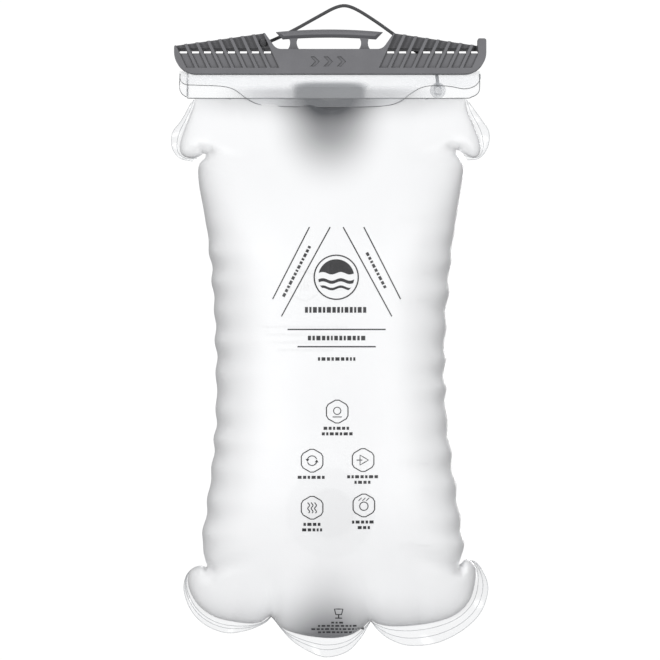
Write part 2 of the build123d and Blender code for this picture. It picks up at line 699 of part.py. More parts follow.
os.makedirs("parts", exist_ok=True)
for node, shape in build().items():
    export_step(shape, f"parts/{node}.step")
litres = 2 * front_half(-FILM, END_SEAL).volume / 1e6
print("water inside", round(litres, 2), "litres")
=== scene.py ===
"""Hydration bladder: films, welds, collar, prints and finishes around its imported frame."""
import math

import bpy
import numpy as np
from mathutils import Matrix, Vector
from mathutils.geometry import delaunay_2d_cdt


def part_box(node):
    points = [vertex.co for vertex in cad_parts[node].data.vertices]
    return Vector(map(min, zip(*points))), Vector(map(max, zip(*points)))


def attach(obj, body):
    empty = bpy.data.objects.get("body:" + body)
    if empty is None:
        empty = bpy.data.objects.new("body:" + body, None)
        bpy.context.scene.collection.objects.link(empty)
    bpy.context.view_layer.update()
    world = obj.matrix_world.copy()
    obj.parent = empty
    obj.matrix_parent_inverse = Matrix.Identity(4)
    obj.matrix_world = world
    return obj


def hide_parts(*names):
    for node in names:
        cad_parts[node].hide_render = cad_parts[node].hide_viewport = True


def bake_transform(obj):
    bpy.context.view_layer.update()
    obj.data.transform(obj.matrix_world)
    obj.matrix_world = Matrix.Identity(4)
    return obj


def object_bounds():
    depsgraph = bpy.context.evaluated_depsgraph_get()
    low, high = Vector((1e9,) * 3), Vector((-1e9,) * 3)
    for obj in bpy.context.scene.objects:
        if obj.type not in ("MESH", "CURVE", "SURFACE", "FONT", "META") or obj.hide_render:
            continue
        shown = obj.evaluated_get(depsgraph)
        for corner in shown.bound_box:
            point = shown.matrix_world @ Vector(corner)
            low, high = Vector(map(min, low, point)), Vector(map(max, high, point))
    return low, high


bl_info = {
    "name": "Hydration Bladder",
    "version": (1, 0, 0),
    "blender": (4, 5, 0),
    "location": "3D View > Sidebar > Bladder",
    "description": "Builds a hanging hydration bladder from its parts",
    "category": "Object",
}

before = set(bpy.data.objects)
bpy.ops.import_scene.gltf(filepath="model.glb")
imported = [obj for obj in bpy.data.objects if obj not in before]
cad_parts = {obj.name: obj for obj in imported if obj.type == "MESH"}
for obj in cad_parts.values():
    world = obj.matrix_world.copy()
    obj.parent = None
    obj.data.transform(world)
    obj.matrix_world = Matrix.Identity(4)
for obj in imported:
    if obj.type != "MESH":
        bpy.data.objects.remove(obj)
CAD_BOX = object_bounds()
MM = 0.001

# ------------------------------------------------------------------ outlines, in millimetres
# Edge of the frosted film, seen from the front: (x, z) down the left side, along the
# bottom and up the right side, back to the collar.
LEFT_EAR = (
    (-71.7, -28.8), (-72.6, -33.5), (-76.6, -43.6), (-79.6, -52.8), (-78.9, -58.6),
    (-74.2, -60.7), (-69.3, -59.6), (-66.4, -57.6), (-66.2, -60.4), (-69.6, -64.4),
)
LEFT_SIDE = ((-69.6, -74.0), (-66.6, -91.0), (-63.7, -112.0), (-60.9, -150.0), (-60.4, -194.0),
             (-62.6, -224.0), (-66.6, -254.0))
LEFT_CORNER = (
    (-67.6, -266.0), (-66.2, -273.6), (-65.0, -277.6), (-68.6, -276.4), (-73.6, -278.4),
    (-75.6, -283.6), (-74.0, -291.0), (-69.0, -298.5), (-60.0, -304.2), (-46.0, -307.0), (-37.0, -306.6),
)
BOTTOM_MIDDLE = (
    (-31.6, -303.2), (-28.6, -306.2), (-24.6, -310.2), (-14.3, -313.4), (0.0, -315.0),
    (10.4, -313.4), (17.2, -309.4), (21.2, -305.8), (25.0, -307.4),
)
RIGHT_CORNER = (
    (34.0, -308.8), (51.0, -307.4), (65.2, -303.2), (73.6, -295.4), (76.8, -284.6),
    (76.4, -276.0), (72.0, -273.2), (68.0, -276.6), (69.4, -271.6), (70.6, -266.0),
)
RIGHT_SIDE = ((68.9, -252.0), (65.4, -226.0), (61.6, -194.0), (61.0, -156.0), (64.2, -112.0),
              (67.6, -88.0), (70.0, -72.0))
RIGHT_EAR = (
    (70.6, -64.6), (67.2, -58.6), (66.6, -55.8), (69.8, -57.6), (75.6, -60.4),
    (79.0, -58.6), (79.4, -53.0), (76.6, -44.6), (72.6, -35.4), (71.5, -28.8),
)
# Outer edge of the clear weld beyond the frosted film.
CLEAR_LEFT_EAR = (
    (-73.6, -31.0), (-78.8, -40.4), (-83.6, -47.2), (-83.7, -55.4), (-79.6, -60.6), (-73.0, -62.2),
)
CLEAR_RIGHT_EAR = (
    (73.4, -31.0), (80.4, -40.6), (84.0, -46.6), (83.4, -54.6), (79.0, -60.6), (72.6, -61.6),
)
CLEAR_LEFT_LOBE = (
    (-69.4, -277.4), (-75.8, -281.0), (-77.6, -290.0), (-73.4, -300.6), (-65.5, -308.2),
    (-55.0, -312.0), (-44.3, -311.0), (-35.4, -307.4), (-31.2, -303.6),
)
CLEAR_MIDDLE_LOBE = (
    (-30.6, -303.8), (-25.8, -310.4), (-19.6, -316.9), (-10.8, -322.2), (-1.9, -324.8),
    (8.7, -322.0), (15.7, -315.2), (19.4, -309.4), (21.2, -306.2),
)
CLEAR_RIGHT_LOBE = (
    (21.8, -306.2), (25.6, -311.0), (31.8, -315.8), (42.2, -319.0), (56.4, -317.2),
    (69.4, -311.0), (79.2, -302.0), (83.4, -291.6), (82.6, -283.4), (77.6, -275.2), (72.4, -273.6),
)

# Route of the tether, as in the part: from the knot in the closure to the anchor's lug.
TETHER_ROUTE = (
    (-0.0356, -0.0026, 0.0004), (-0.0356, 0.0074, 0.0004), (-0.0296, 0.0094, 0.0029),
    (-0.0200, 0.0082, 0.0074), (-0.0062, 0.0072, 0.0151), (0.0044, 0.0068, 0.0209),
    (0.0112, 0.0070, 0.0205), (0.0224, 0.0074, 0.0137), (0.0346, 0.0078, 0.0050),
    (0.0470, 0.0088, -0.0044), (0.0550, 0.0104, -0.0124), (0.0570, 0.0091, -0.0158),
    (0.0570, 0.0046, -0.0218),
)


# ------------------------------------------------------------------ settings
class FilmSettings(bpy.types.PropertyGroup):
    """Shape and finish of the bag's films."""
    fullness: bpy.props.FloatProperty(
        name="Fullness", description="Half depth of the filled bag over its half width", default=0.615,
        min=0.1, max=1.0, subtype="FACTOR")
    ripple: bpy.props.FloatProperty(
        name="Ripple", description="Height of the puckers along the side welds", default=0.0011,
        min=0.0, unit="LENGTH")
    ripple_pitch: bpy.props.FloatProperty(
        name="Ripple pitch", description="Distance between puckers", default=0.0166, min=0.002,
        unit="LENGTH")
    mesh_size: bpy.props.FloatProperty(
        name="Mesh size", description="Distance between the film's inner points", default=0.0029,
        min=0.001, unit="LENGTH")
    colour: bpy.props.FloatVectorProperty(
        name="Frosted film", description="Colour of the frosted film", default=(0.93, 0.935, 0.945),
        min=0, max=1, size=3, subtype="COLOR")
    frost: bpy.props.FloatProperty(
        name="Frost", description="How much the films hide what is behind them", default=0.82,
        min=0, max=1, subtype="FACTOR")
    clear: bpy.props.FloatVectorProperty(
        name="Clear film", description="Colour of the clear welds and collar", default=(0.80, 0.82, 0.85),
        min=0, max=1, size=3, subtype="COLOR")
    ink: bpy.props.FloatVectorProperty(
        name="Ink", description="Colour of the prints", default=(0.012, 0.012, 0.014),
        min=0, max=1, size=3, subtype="COLOR")


class HardwareSettings(bpy.types.PropertyGroup):
    """Finish of the closure, the tether and the port."""
    moulding: bpy.props.FloatVectorProperty(
        name="Moulding", description="Colour of the closure and its handle", default=(0.132, 0.132, 0.142),
        min=0, max=1, size=3, subtype="COLOR")
    port: bpy.props.FloatVectorProperty(
        name="Port", description="Colour of the port's housing", default=(0.035, 0.036, 0.04),
        min=0, max=1, size=3, subtype="COLOR")
    button: bpy.props.FloatVectorProperty(
        name="Button", description="Colour of the release button", default=(0.02, 0.17, 0.40),
        min=0, max=1, size=3, subtype="COLOR")
    cord: bpy.props.FloatVectorProperty(
        name="Cord", description="Colour of the tether", default=(0.038, 0.038, 0.041),
        min=0, max=1, size=3, subtype="COLOR")
    cord_diameter: bpy.props.FloatProperty(
        name="Cord diameter", description="Diameter of the tether", default=0.0018, min=0.0003,
        unit="LENGTH")


class StageSettings(bpy.types.PropertyGroup):
    """Camera and light."""
    view_width: bpy.props.FloatProperty(
        name="View width", description="Width of the view at the bag's middle", default=0.3498, min=0.05,
        unit="LENGTH")
    view_height: bpy.props.FloatProperty(
        name="View height", description="Height of the view's middle", default=-0.1517, unit="LENGTH")
    distance: bpy.props.FloatProperty(
        name="Distance", description="Camera's distance in front of the bag", default=2.2, min=0.3,
        unit="LENGTH")
    front_light: bpy.props.FloatProperty(
        name="Front light", description="Strength of the light from the camera's side", default=3.15, min=0)
    top_light: bpy.props.FloatProperty(
        name="Top light", description="Strength of the light from above", default=0.6, min=0)
    back_light: bpy.props.FloatProperty(
        name="Back light", description="Strength of the light from behind", default=1.7, min=0)
    ambient: bpy.props.FloatProperty(
        name="Ambient", description="Light from all round", default=0.14, min=0)


# ------------------------------------------------------------------ small tools
def smooth_line(points, step):
    """Points every step along a Catmull-Rom curve through the given ones."""
    given = np.array(points, float)
    padded = np.vstack([2 * given[:1] - given[1:2], given, 2 * given[-1:] - given[-2:-1]])
    fine = []
    for span in range(len(given) - 1):
        p0, p1, p2, p3 = padded[span:span + 4]
        for t in np.linspace(0, 1, 24, endpoint=False):
            fine.append(0.5 * (2 * p1 + (p2 - p0) * t + (2 * p0 - 5 * p1 + 4 * p2 - p3) * t**2
                               + (3 * p1 - p0 - 3 * p2 + p3) * t**3))
    fine = np.array([*fine, given[-1]])
    lengths = np.concatenate([[0], np.cumsum(np.linalg.norm(np.diff(fine, axis=0), axis=1))])
    wanted = np.linspace(0, lengths[-1], max(4, round(lengths[-1] / step)) + 1)
    return np.stack([np.interp(wanted, lengths, fine[:, k]) for k in range(given.shape[1])], axis=1)


def new_mesh(name, verts, faces):
    """A mesh object from vertices in metres."""
    mesh = bpy.data.meshes.new(name)
    mesh.from_pydata([tuple(v) for v in verts], [], [tuple(f) for f in faces])
    mesh.validate()
    mesh.shade_smooth()
    piece = bpy.data.objects.new(name, mesh)
    bpy.context.scene.collection.objects.link(piece)
    return piece


def grid_faces(rows, columns, closed=False):
    """Quads of a grid of rows x columns vertices, its columns joined up if closed."""
    faces = []
    for r in range(rows - 1):
        for c in range(columns if closed else columns - 1):
            d = (c + 1) % columns
            faces.append((r * columns + c, r * columns + d, (r + 1) * columns + d, (r + 1) * columns + c))
    return faces


def tube(name, path, radius, sides=10):
    """A closed-ended round tube along points in metres."""
    path = np.array(path, float)
    tangents = np.gradient(path, axis=0)
    tangents /= np.linalg.norm(tangents, axis=1)[:, None]
    side = np.cross(tangents[0], (0.31, 0.27, 0.91))
    verts = []
    for point, tangent in zip(path, tangents):
        side = side - tangent * np.dot(side, tangent)
        side /= np.linalg.norm(side)
        other = np.cross(tangent, side)
        for k in range(sides):
            angle = 2 * math.pi * k / sides
            verts.append(point + radius * (math.cos(angle) * side + math.sin(angle) * other))
    faces = grid_faces(len(path), sides, closed=True)
    last = (len(path) - 1) * sides
    faces.append(tuple(reversed(range(sides))))
    faces.append(tuple(range(last, last + sides)))
    return new_mesh(name, verts, faces)


def join(name, pieces):
    """One object from several mesh objects."""
    bpy.ops.object.select_all(action="DESELECT")
    for piece in pieces:
        piece.select_set(True)
    bpy.context.view_layer.objects.active = pieces[0]
    bpy.ops.object.join()
    joined = bpy.context.view_layer.objects.active
    joined.name = name
    joined.data.name = name
    return joined


def place(piece, material):
    """Gives a piece its material and its slot; it rides on the reservoir."""
    piece.data.materials.clear()
    piece.data.materials.append(material)
    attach(piece, "reservoir")
    return piece


# ------------------------------------------------------------------ materials
def new_group(name, inputs, outputs):
    """An empty shader node group with its sockets, and its input and output nodes."""
    group = bpy.data.node_groups.new(name, "ShaderNodeTree")
    for label, kind, default in inputs:
        item = group.interface.new_socket(label, in_out="INPUT", socket_type=kind)
        item.default_value = default
    for label, kind in outputs:
        group.interface.new_socket(label, in_out="OUTPUT", socket_type=kind)
    return group, group.nodes.new("NodeGroupInput"), group.nodes.new("NodeGroupOutput")


def link(tree, source, target):
    tree.links.new(source, target)


def set_inputs(node, **values):
    """Sets a node's sockets to plain values; an underscore in a label stands for a space."""
    for label, value in values.items():
        node.inputs[label.replace("_", " ")].default_value = value


def math_node(tree, operation, first, second=None, clamp=False):
    """A Math node whose inputs are sockets or numbers; returns its output."""
    node = tree.nodes.new("ShaderNodeMath")
    node.operation = operation
    node.use_clamp = clamp
    for socket, value in zip(node.inputs, (first, second)):
        if isinstance(value, bpy.types.NodeSocket):
            link(tree, value, socket)
        elif value is not None:
            socket.default_value = value
    return node.outputs[0]


def grain_group():
    """Fine surface grain and a slow variation of it, from the place on the object."""
    name = "Grain"
    if name in bpy.data.node_groups:
        return bpy.data.node_groups[name]
    number = "NodeSocketFloat"
    inputs = [("Size", number, 0.001), ("Patch Size", number, 0.02)]
    group, source, target = new_group(name, inputs, [("Grain", number), ("Patches", number)])
    place_node = group.nodes.new("ShaderNodeTexCoord")
    for size, output, detail in (("Size", "Grain", 3.0), ("Patch Size", "Patches", 2.0)):
        noise = group.nodes.new("ShaderNodeTexNoise")
        set_inputs(noise, Detail=detail)
        link(group, place_node.outputs["Object"], noise.inputs["Vector"])
        link(group, math_node(group, "DIVIDE", 1.0, source.outputs[size]), noise.inputs["Scale"])
        link(group, noise.outputs["Fac"], target.inputs[output])
    return group


def patch_group():
    """A soft patch: 1 at its middle, 0 at its half sizes; a high Squareness makes it a rounded block."""
    name = "Soft patch"
    if name in bpy.data.node_groups:
        return bpy.data.node_groups[name]
    vector, number = "NodeSocketVector", "NodeSocketFloat"
    inputs = [("Middle", vector, (0, 0, 0)), ("Half Size", vector, (1, 1, 1)), ("Squareness", number, 2.0),
              ("Core", number, 0.0)]
    group, source, target = new_group(name, inputs, [("Patch", number)])
    place_node = group.nodes.new("ShaderNodeTexCoord")
    shift = group.nodes.new("ShaderNodeVectorMath")
    shift.operation = "SUBTRACT"
    scale = group.nodes.new("ShaderNodeVectorMath")
    scale.operation = "DIVIDE"
    split = group.nodes.new("ShaderNodeSeparateXYZ")
    fade = group.nodes.new("ShaderNodeMapRange")
    fade.interpolation_type = "SMOOTHERSTEP"
    set_inputs(fade, From_Max=1.0, To_Min=1.0, To_Max=0.0)
    link(group, place_node.outputs["Object"], shift.inputs[0])
    link(group, source.outputs["Middle"], shift.inputs[1])
    link(group, shift.outputs[0], scale.inputs[0])
    link(group, source.outputs["Half Size"], scale.inputs[1])
    link(group, scale.outputs[0], split.inputs[0])
    power = source.outputs["Squareness"]
    total = 0.0
    for axis in "XYZ":
        reach = math_node(group, "ABSOLUTE", split.outputs[axis])
        total = math_node(group, "ADD", math_node(group, "POWER", reach, power), total)
    root = math_node(group, "DIVIDE", 1.0, power)
    link(group, math_node(group, "POWER", total, root), fade.inputs["Value"])
    link(group, source.outputs["Core"], fade.inputs["From Min"])
    link(group, fade.outputs[0], target.inputs["Patch"])
    return group


def use_group(tree, group, **values):
    """Places a node group with its own values."""
    node = tree.nodes.new("ShaderNodeGroup")
    node.node_tree = group
    set_inputs(node, **values)
    return node


def new_material(name):
    material = bpy.data.materials.new(name)
    material.use_nodes = True
    tree = material.node_tree
    return material, tree, tree.nodes["Principled BSDF"]


def mix_colour(tree, factor, first, second):
    """A colour mix whose inputs are sockets or colours; returns its output."""
    node = tree.nodes.new("ShaderNodeMix")
    node.data_type = "RGBA"
    for name, kind, value in (("Factor", "VALUE", factor), ("A", "RGBA", first), ("B", "RGBA", second)):
        socket = next(s for s in node.inputs if s.name == name and s.type == kind)
        if isinstance(value, bpy.types.NodeSocket):
            link(tree, value, socket)
        elif kind == "VALUE":
            socket.default_value = value
        else:
            socket.default_value = (*value, 1.0)
    return [s for s in node.outputs if s.type == "RGBA"][0]


def map_range(tree, value, low, high, to_low, to_high):
    node = tree.nodes.new("ShaderNodeMapRange")
    set_inputs(node, From_Min=low, From_Max=high, To_Min=to_low, To_Max=to_high)
    link(tree, value, node.inputs["Value"])
    return node.outputs[0]


def add_bump(tree, shader, height, strength, distance, normal=None):
    bump = tree.nodes.new("ShaderNodeBump")
    set_inputs(bump, Strength=strength, Distance=distance)
    link(tree, height, bump.inputs["Height"])
    if normal is not None:
        link(tree, normal, bump.inputs["Normal"])
    link(tree, bump.outputs["Normal"], shader.inputs["Normal"])


# Painted shade where the films are pinched together at the top and bottom: middle, half size and strength.
PAINTED_PINCH_SHADE = (
    ((-0.0005, 0, -0.036), (0.038, 1, 0.050), 0.84),
    ((0, 0, -0.024), (0.120, 1, 0.024), 0.40),
    ((-0.001, 0, -0.316), (0.034, 1, 0.058), 0.46),
    ((0, 0, -0.322), (0.150, 1, 0.040), 0.46),
)
PAINTED_PINCH_SHADE_COLOUR = (0.072, 0.075, 0.083)


def frosted_material(name, settings, frost, shade):
    """Satin see-through film, denser where it is seen edge on, with painted shade near the pinched ends."""
    material, tree, shader = new_material(name)
    grain = use_group(tree, grain_group(), Size=0.0009, Patch_Size=0.045)
    # Painted shade: dark patches at the top and bottom are mixed into the colour and made opaque in the
    # alpha.
    painted_shade = 0.0
    for middle, half_size, share in PAINTED_PINCH_SHADE:
        patch = use_group(tree, patch_group(), Middle=middle, Half_Size=half_size)
        pinch_shade_patch = math_node(tree, "MULTIPLY", patch.outputs[0], share * shade)
        painted_shade = math_node(tree, "ADD", pinch_shade_patch, painted_shade, clamp=True)
    pale = mix_colour(tree, map_range(tree, grain.outputs["Patches"], 0.3, 0.7, 0, 1),
                      settings.colour, [c * 0.975 for c in settings.colour])
    link(tree, mix_colour(tree, painted_shade, pale, PAINTED_PINCH_SHADE_COLOUR), shader.inputs["Base Color"])
    set_inputs(shader, Roughness=0.42, IOR=1.46)
    edge = tree.nodes.new("ShaderNodeLayerWeight")
    set_inputs(edge, Blend=0.35)
    alpha = map_range(tree, edge.outputs["Facing"], 0.0, 1.0, frost, 0.97)
    painted_shade_alpha = math_node(tree, "MULTIPLY", painted_shade, 0.9)
    link(tree, math_node(tree, "MAXIMUM", alpha, painted_shade_alpha), shader.inputs["Alpha"])
    add_bump(tree, shader, grain.outputs["Grain"], 0.18, 0.0002)
    return material


def clear_material(name, colour, low, high, roughness=0.16, painted_shade_blocks=()):
    """Clear gloss film: almost unseen face on, grey where it curls away; the blocks given to it are painted
    shade, darker in colour and more opaque.
    """
    material, tree, shader = new_material(name)
    grain = use_group(tree, grain_group(), Size=0.006, Patch_Size=0.03)
    tint = mix_colour(tree, map_range(tree, grain.outputs["Patches"], 0.35, 0.65, 0, 1),
                      colour, [c * 0.93 for c in colour])
    set_inputs(shader, Roughness=roughness, IOR=1.48)
    edge = tree.nodes.new("ShaderNodeLayerWeight")
    set_inputs(edge, Blend=0.45)
    alpha = map_range(tree, edge.outputs["Facing"], 0.0, 1.0, low, high)
    # Each block is painted shade: its dark colour is mixed in and it is made more opaque.
    for middle, half_size, core, cover, painted_shade in painted_shade_blocks:
        patch = use_group(tree, patch_group(), Middle=middle, Half_Size=half_size,
                          Squareness=5.0, Core=core)
        tint = mix_colour(tree, patch.outputs[0], tint, painted_shade)
        alpha = math_node(tree, "MAXIMUM", alpha, math_node(tree, "MULTIPLY", patch.outputs[0], cover))
    link(tree, tint, shader.inputs["Base Color"])
    link(tree, alpha, shader.inputs["Alpha"])
    add_bump(tree, shader, grain.outputs["Grain"], 0.10, 0.0005)
    return material


def moulded_material(name, colour, roughness, grain_size=0.0006, rounding=0.0005, shade_reach=0.005):
    """Spark-textured moulding with softened edges, with painted shade in its recesses from ambient
    occlusion, scuffed paler in patches.
    """
    material, tree, shader = new_material(name)
    grain = use_group(tree, grain_group(), Size=grain_size, Patch_Size=0.012)
    soft = tree.nodes.new("ShaderNodeBevel")
    soft.samples = 6
    set_inputs(soft, Radius=rounding)
    # Painted shade: the colour is darkened where ambient occlusion finds recesses.
    recess_shade_ao = tree.nodes.new("ShaderNodeAmbientOcclusion")
    recess_shade_ao.samples = 8
    set_inputs(recess_shade_ao, Distance=shade_reach)
    scuffs = map_range(tree, grain.outputs["Patches"], 0.45, 0.75, 0.0, 0.35)
    worn = mix_colour(tree, scuffs, colour, [min(1, c * 1.25 + 0.01) for c in colour])
    recess_shade_colour = [c * 0.60 for c in colour]
    deep = map_range(tree, recess_shade_ao.outputs["AO"], 0.50, 0.96, 1.0, 0.0)
    link(tree, mix_colour(tree, deep, worn, recess_shade_colour), shader.inputs["Base Color"])
    rough = map_range(tree, grain.outputs["Patches"], 0.3, 0.7, roughness - 0.06, roughness + 0.08)
    link(tree, rough, shader.inputs["Roughness"])
    add_bump(tree, shader, grain.outputs["Grain"], 0.30, 0.00012, soft.outputs["Normal"])
    return material


def cord_material(settings):
    """Round braided cord: fine crossing strands, with a painted highlight on their tops and painted shade
    between them.
    """
    material, tree, shader = new_material("cord braid")
    grain = use_group(tree, grain_group(), Size=0.0003, Patch_Size=0.004)
    place_node = tree.nodes.new("ShaderNodeTexCoord")
    weave = tree.nodes.new("ShaderNodeTexVoronoi")
    set_inputs(weave, Scale=2600)
    link(tree, place_node.outputs["Object"], weave.inputs["Vector"])
    pale = [c * 2.1 for c in settings.cord]
    # Painted highlight and shade: the middle of each strand cell is paler than its rim.
    strand_top_highlight = map_range(tree, weave.outputs["Distance"], 0.1, 0.7, 1, 0)
    link(tree, mix_colour(tree, strand_top_highlight, settings.cord, pale), shader.inputs["Base Color"])
    set_inputs(shader, Roughness=0.72, Sheen_Weight=0.3)
    height = math_node(tree, "ADD", weave.outputs["Distance"], grain.outputs["Grain"])
    add_bump(tree, shader, height, 0.6, 0.0002)
    return material


def ink_material(name, colour, cover):
    """Screen-printed ink with slightly uneven cover."""
    material, tree, shader = new_material(name)
    grain = use_group(tree, grain_group(), Size=0.0004, Patch_Size=0.006)
    link(tree, mix_colour(tree, map_range(tree, grain.outputs["Patches"], 0.3, 0.7, 0, 1),
                          colour, [c * 1.6 + 0.004 for c in colour]), shader.inputs["Base Color"])
    uneven = map_range(tree, grain.outputs["Grain"], 0.25, 0.6, cover - 0.1, cover)
    link(tree, uneven, shader.inputs["Alpha"])
    set_inputs(shader, Roughness=0.45)
    return material


def steel_material():
    """Drawn spring wire."""
    material, tree, shader = new_material("spring wire")
    grain = use_group(tree, grain_group(), Size=0.0002, Patch_Size=0.003)
    link(tree, mix_colour(tree, grain.outputs["Patches"], (0.50, 0.50, 0.51), (0.66, 0.66, 0.67)),
         shader.inputs["Base Color"])
    set_inputs(shader, Metallic=1.0)
    link(tree, map_range(tree, grain.outputs["Grain"], 0, 1, 0.22, 0.38), shader.inputs["Roughness"])
    return material


# ------------------------------------------------------------------ shape of the filled bag
def frosted_outline(settings):
    """Closed edge of the frosted film, rippled along its sides, in millimetres."""
    corners = LEFT_EAR + LEFT_SIDE + LEFT_CORNER + BOTTOM_MIDDLE + RIGHT_CORNER + RIGHT_SIDE + RIGHT_EAR
    line = smooth_line(corners, 2.1)
    top = smooth_line((corners[-1], (24.0, FILM_TOP), (-24.0, FILM_TOP), corners[0]), 2.1)[1:-1]
    outline = np.vstack([line, top])
    sides = np.clip((-outline[:, 1] - 92) / 20, 0, 1) * np.clip((outline[:, 1] + 272) / 12, 0, 1)
    sides *= np.abs(outline[:, 0]) > 50
    wave = np.array([pucker(z * MM, math.copysign(1, x), settings) for x, z in outline])
    outline[:, 0] += np.sign(outline[:, 0]) * sides * 0.75 * wave
    return outline


def pucker(height, side, settings):
    """Uneven wave along a side weld: -1 to 1, at a height in metres."""
    turns = height / settings.ripple_pitch
    slow = 0.5 * math.sin(turns * 1.31 + 1.7 * side)
    return math.sin(2 * math.pi * turns + 1.2 * side + slow) * (0.75 + 0.25 * math.sin(turns * 2.3 + side))


def distance_to(outline, points):
    """Distance of each point from a closed outline."""
    best = np.full(len(points), 1e9)
    ends = np.roll(outline, -1, axis=0)
    for a, b in zip(outline, ends):
        run = b - a
        t = np.clip(((points - a) @ run) / max(run @ run, 1e-9), 0, 1)
        best = np.minimum(best, np.linalg.norm(points - a - t[:, None] * run, axis=1))
    return best


def inside(outline, points):
    """True for each point inside a closed outline."""
    result = np.zeros(len(points), bool)
    ends = np.roll(outline, -1, axis=0)
    for (ax, az), (bx, bz) in zip(outline, ends):
        crosses = (az > points[:, 1]) != (bz > points[:, 1])
        with np.errstate(divide="ignore", invalid="ignore"):
            at = ax + (points[:, 1] - az) * (bx - ax) / (bz - az if bz != az else 1e-9)
        result ^= crosses & (points[:, 0] < at)
    return result


class FilledBag:
    """Half depth of the filled bag at any place inside its outline, in millimetres.

    A film under even pressure is found by relaxing a stretched sheet over the outline."""

    def __init__(self, settings):
        self.settings = settings
        self.outline = frosted_outline(settings)
        self.low = np.floor(self.outline.min(0)) - 3
        size = np.ceil(self.outline.max(0)) + 3 - self.low
        self.shape = (int(size[0]) // 2 * 2 + 1, int(size[1]) // 2 * 2 + 1)
        xs, zs = np.meshgrid(np.arange(self.shape[0]), np.arange(self.shape[1]), indexing="ij")
        points = np.stack([xs.ravel(), zs.ravel()], axis=1) + self.low
        mask = inside(self.outline, points).reshape(self.shape)
        distance = distance_to(self.outline, points).reshape(self.shape)
        lift = self.relax(mask)
        deep = mask & (distance > 2.5)
        slope = np.where(deep, lift / np.maximum(distance, 1e-6), 0)
        weight = deep.astype(float)
        for _ in range(12):
            grown = self.spread(slope * weight)
            share = self.spread(weight)
            filled = (weight < 0.5) & (share > 0)
            slope = np.where(filled, grown / np.maximum(share, 1e-9), slope)
            weight = np.where(filled, 1.0, weight)
        for _ in range(6):
            slope = 0.5 * slope + 0.5 * self.spread(slope) / 4
        self.slope = slope

    @staticmethod
    def spread(field):
        total = np.zeros_like(field)
        total[1:] += field[:-1]
        total[:-1] += field[1:]
        total[:, 1:] += field[:, :-1]
        total[:, :-1] += field[:, 1:]
        return total

    def relax(self, mask):
        """Sheet under unit pressure, held at the outline; a coarse grid starts it off."""
        coarse_mask = mask[::2, ::2]
        lift = np.where(coarse_mask, 1200.0, 0.0)
        for _ in range(2600):
            lift = np.where(coarse_mask, (self.spread(lift) + 4.0) / 4, 0)
        full = np.zeros(self.shape)
        full[::2, ::2] = lift
        full[1::2] = 0.5 * (full[:-1:2] + full[2::2])
        full[:, 1::2] = 0.5 * (full[:, :-1:2] + full[:, 2::2])
        for _ in range(500):
            full = np.where(mask, (self.spread(full) + 1.0) / 4, 0)
        return full

    def half_depth(self, points):
        """Half depth at points (x, z) in millimetres."""
        points = np.asarray(points, float).reshape(-1, 2)
        at = np.clip(points - self.low, 0, np.array(self.shape) - 1.001)
        cell = at.astype(int)
        f = at - cell
        slope = sum(
            self.slope[cell[:, 0] + i, cell[:, 1] + j]
            * (f[:, 0] if i else 1 - f[:, 0]) * (f[:, 1] if j else 1 - f[:, 1])
            for i in (0, 1) for j in (0, 1))
        near = distance_to(self.outline, points)
        x, z = points[:, 0], points[:, 1]
        top = np.clip((FILM_TOP - z) / TOP_TAPER, 0, 1)
        low = np.clip((z - FILM_FOOT) / FOOT_TAPER, 0, 1)
        taper = (0.10 + 0.90 * top * (2 - top)) * (0.62 + 0.38 * low * (2 - low))
        round_depth = np.sqrt(np.maximum(2 * slope * near, 0))
        depth = self.settings.fullness * round_depth**0.72 * FULL_REACH**0.28 * taper
        return np.maximum(depth - self.dents(x, z, depth, near), 0)

    def back_depth(self, points):
        """Half depth on the back, where the film lies flat under the port's flange."""
        points = np.asarray(points, float).reshape(-1, 2)
        free = self.half_depth(points)
        low, high = (np.array(corner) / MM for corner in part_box("port_flange"))
        radius = (high[0] - low[0]) / 2
        heights, widths, depths = np.array(PORT_SEAT).T
        width = np.interp(points[:, 1], heights, widths)
        seat = np.interp(points[:, 1], heights, depths)
        seat = seat * np.sqrt(np.clip(1 - (points[:, 0] / width) ** 2, 0, 1)) - 0.3
        away = np.linalg.norm(points - port_middle(), axis=1)
        blend = np.clip((away - radius - 2) / 20, 0, 1)
        blend = blend * blend * (3 - 2 * blend)
        return blend * free + (1 - blend) * seat

    def dents(self, x, z, depth, near):
        """Puckers along the welds, creases that run in from the notches, and the pinched ends."""
        side = np.sign(x)
        edge = np.exp(-near / 5.5) * np.minimum(near / 2.5, 1)
        tall = np.clip((-z - 88) / 22, 0, 1) * np.clip((z + 276) / 14, 0, 1)
        wave = np.array([pucker(h * MM, s, self.settings) for h, s in zip(z, side)])
        total = -self.settings.ripple / MM * 2.6 * wave * edge * tall * (np.abs(x) > 35)
        for px, pz, angle, length, width, deep in CREASES:
            along_x, along_z = math.cos(math.radians(angle)), math.sin(math.radians(angle))
            run = (x - px) * along_x + (z - pz) * along_z
            off = -(x - px) * along_z + (z - pz) * along_x
            fade = np.clip(1 - run / length, 0, 1) ** 1.5 * (run > -3)
            total += deep * fade * np.exp(-(off / (width * (1 + np.maximum(run, 0) / length))) ** 2)
        return total


# Radius of the hole in the back film that the port's boss stands in, in millimetres.
PORT_HOLE = 13.2
# Ends of the film and how far below and above them the bag gets thinner, in millimetres.
FILM_TOP = -28.7
FILM_FOOT = -315
TOP_TAPER = 92
FOOT_TAPER = 78
# Inner half width of the widest part, in millimetres: the films are flatter than an ellipse there.
FULL_REACH = 61.0
# Back film under the port's flange: height, half width and half depth, in millimetres.
PORT_SEAT = (
    (-315.0, 60.0, 1.2), (-285.0, 69.0, 16.5), (-262.0, 67.2, 29.0),
    (-233.0, 63.4, 35.5), (-196.0, 60.6, 37.0),
)

